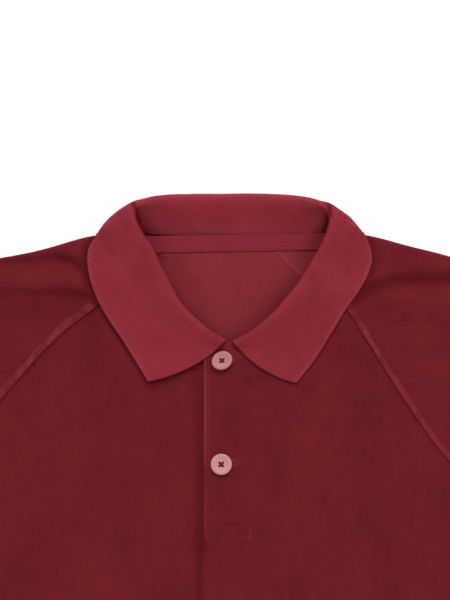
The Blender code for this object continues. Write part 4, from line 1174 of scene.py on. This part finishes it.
def make_buttonhole(name, x, y, right):
    """Satin-stitched slit across the placket: two rings of stitches, closed to a wedge at its right end."""
    count, around, start_x, end_x = 240, 8, x - HOLE_LEFT, x + right
    lip_x = start_x + (end_x - start_x) * (0.5 - 0.5 * np.cos(math.pi * np.linspace(0, 1, count // 2)))
    opened = np.clip(end_x - lip_x, 0, HOLE_OPEN)
    thread = 0.1 * np.cos(np.arange(count) * math.pi)
    turn = 2 * math.pi * np.arange(around) / around
    verts, faces = [], []
    for number, (apart, width) in enumerate(((1, 0.7), (0.55, 0.6))):
        above, below = y + 0.2 + 0.78 * apart * opened, y - 0.2 - 0.26 * apart * opened
        line = joined(np.append(lip_x, lip_x[::-1]), np.append(above, below[::-1]))
        way = unit(np.roll(line, -1, axis=0) - np.roll(line, 1, axis=0))
        side = joined(way[:, 1], -way[:, 0])
        place = line[:, None] + side[:, None] * ((width + thread)[:, None] * np.cos(turn))[..., None]
        height = placket_surface(place[..., 0], place[..., 1]) + (0.15 + thread * 0.4)[:, None] * np.sin(turn)
        verts.append(np.dstack([place, height]).reshape(-1, 3))
        faces.append(tube_faces(number * count * around, count, around, closed=True))
    return dress(new_object(name, np.vstack(verts), np.vstack(faces), [HOLE_YARN]))


def button_blank(name):
    """The turned form with its four holes and softened edges, lying at the origin."""
    half, around = BUTTON_WIDTH / 2, 72
    verts, starts, faces = [], [], []
    for out, up in PROFILE:
        starts.append(len(verts))
        for k in range(around if out else 1):
            turn = 2 * math.pi * k / around
            verts.append((out * half * math.cos(turn), out * half * math.sin(turn), up * BUTTON_HEIGHT))
    for k in range(around):
        after = (k + 1) % around
        faces.append((0, starts[1] + k, starts[1] + after))
        faces += [(a + k, b + k, b + after, a + after) for a, b in zip(starts[1:-2], starts[2:-1])]
        faces.append((starts[-2] + k, starts[-1], starts[-2] + after))
    blank = new_object(name + "_turned", verts, faces, [PINK[name]], level=0)
    drills, deep = [], 3 * BUTTON_HEIGHT * MM
    for right, up in ((-1, -1), (1, -1), (1, 1), (-1, 1)):
        bpy.ops.mesh.primitive_cylinder_add(vertices=24, radius=BUTTON_HOLE * MM, depth=deep)
        drills.append(bpy.context.object)
        place = (right * BUTTON_HOLE_PITCH, up * BUTTON_HOLE_PITCH, BUTTON_HEIGHT / 2)
        drills[-1].location = [part * MM for part in place]
        cut = blank.modifiers.new("hole", "BOOLEAN")
        cut.operation, cut.solver, cut.object = "DIFFERENCE", "EXACT", drills[-1]
    soft = blank.modifiers.new("soft", "BEVEL")
    soft.width, soft.segments = BUTTON_BEVEL * MM, 2
    soft.limit_method, soft.angle_limit = "ANGLE", math.radians(50)
    bpy.context.view_layer.update()
    mesh = bpy.data.meshes.new_from_object(blank.evaluated_get(bpy.context.evaluated_depsgraph_get()))
    for old in (blank, *drills):
        bpy.data.objects.remove(old)
    mesh.shade_smooth()
    return mesh


def thread_strands():
    """Middles of the strands that cross between the holes and run beside them."""
    t, strands = np.linspace(-1, 1, 13), []
    reach, over = t * BUTTON_HOLE_PITCH * THREAD_REACH, BUTTON_HEIGHT * BUTTON_FLOOR + 0.22
    over = over - 3.4 * np.maximum(np.abs(t) - 0.58, 0) ** 1.3
    for way in (-1, 1):
        crossing = joined(reach, way * reach, over + 0.12 * way)
        beside = joined(way * BUTTON_HOLE_PITCH + 0 * t, reach, over - 0.1)
        for strand in STRANDS:
            strands.append(crossing + [-way * strand * 0.7, strand * 0.7, -0.3 * strand**2])
            strands.append(beside + [-way * abs(strand), 0, -0.3 * strand**2])
            strands.append(strands[-1][:, [1, 0, 2]])
    return np.array(strands)


def make_button(name, x, y, tilt):
    """A turned four-hole button with its thread, its foot on the placket."""
    tilt, lean = math.radians(0.4 * tilt), math.radians(BUTTON_LEAN)
    ground = float(front_height(np.array(x), np.array(y)) + placket_lift(np.array(x), np.array(y)))
    foot = ground + GAP + BUTTON_WIDTH / 2 * math.sin(tilt)
    turned = Matrix.Translation(((x + 0.2 * (tilt > 0)) * MM, (y + NECK_LEVEL) * MM, foot * MM))
    turned = turned @ Matrix.Rotation(-tilt, 4, (math.cos(lean), math.sin(lean), 0))
    if tilt:
        turned = turned @ Matrix.Scale(BUTTON_NARROW, 4, (-math.sin(lean), math.cos(lean), 0))
    made = placed(name + "_pink", button_blank(name))
    made.data.transform(turned)
    dress(made, name)

    strands, turn = thread_strands(), math.pi * np.arange(6) / 3
    section = THREAD_RADIUS * joined(np.cos(turn), np.cos(turn + 1.2), np.sin(turn))
    verts = (strands[:, :, None] + section).reshape(-1, 3)
    per = 6 * strands.shape[1]
    faces = np.vstack([tube_faces(base, strands.shape[1], 6) for base in range(0, len(verts), per)])
    thread = new_object(name + "_thread", verts, faces, [DARK_YARN], level=0)
    thread.data.transform(turned)
    dress(thread)


# ---- the shirt

front = make_front()
back = make_back()
sleeves = {side: make_sleeve(side) for side in ("left", "right")}
collar = make_collar()
placket_top = make_placket_top()
placket_under = make_placket_under()
tape = make_tape()
make_sewing()
for (name, x, y, tilt), hole_right in zip(BUTTONS, HOLE_RIGHT):
    make_button(name, x, y, tilt)
    make_buttonhole(name.replace("button", "buttonhole"), x, y, hole_right)

# ---- floor, light and camera

FLOOR_HALF, FLOOR_Z, SKY = 4000, -0.6, 0.52
n = Nodes("studio_floor")
paper = n.finish(n.blend(n.noise(3, 1), (0.87, 0.87, 0.87), (0.89, 0.89, 0.89)), 0.95,
                 Specular_IOR_Level=0.1, Emission_Color=(1, 1, 1, 1), Emission_Strength=0.22)
corners = [(x * FLOOR_HALF, y * FLOOR_HALF, FLOOR_Z) for x, y in ((-1, -1), (1, -1), (1, 1), (-1, 1))]
floor = new_object("floor", corners, [(0, 1, 2, 3)], [paper], level=0)

world = bpy.data.worlds.new("studio")
world.use_nodes = True
sky = world.node_tree.nodes["Background"].inputs
sky["Color"].default_value, sky["Strength"].default_value = (1, 1, 1, 1), SKY
bpy.context.scene.world = world


def softbox(name, place, aim, size, watts):
    lamp = bpy.data.lights.new(name, "AREA")
    lamp.shape, lamp.size, lamp.energy = "SQUARE", size, watts
    made = placed(name, lamp)
    made.location = place
    way = [a - b for a, b in zip(aim, place)]
    turn = math.atan2(way[1], way[0]) - math.pi / 2
    made.rotation_euler = (math.atan2(math.hypot(way[0], way[1]), -way[2]), 0, turn)


softbox("key", (0.1, 2.7, 2.85), (0, 0.25, 0), 2.4, 104)
softbox("fill", (0.9, -1.3, 2.7), (0, 0.2, 0), 2.2, 20)
bpy.context.scene.view_settings.view_transform = "Standard"

SENSOR, DISTANCE, SEEN = 36, 2.4, 0.408  # millimetres, metres, metres from the photo's top to its foot
LOOK_AT = (-0.00306, 0.29066, 0.006)  # the place in the photo's middle
lens = bpy.data.cameras.new("camera")
lens.sensor_width, lens.lens, lens.clip_end = SENSOR, SENSOR * DISTANCE / SEEN, 20
camera = placed("camera", lens)
camera.location = [a + b for a, b in zip(LOOK_AT, (0, 0, DISTANCE))]
bpy.context.scene.camera = camera
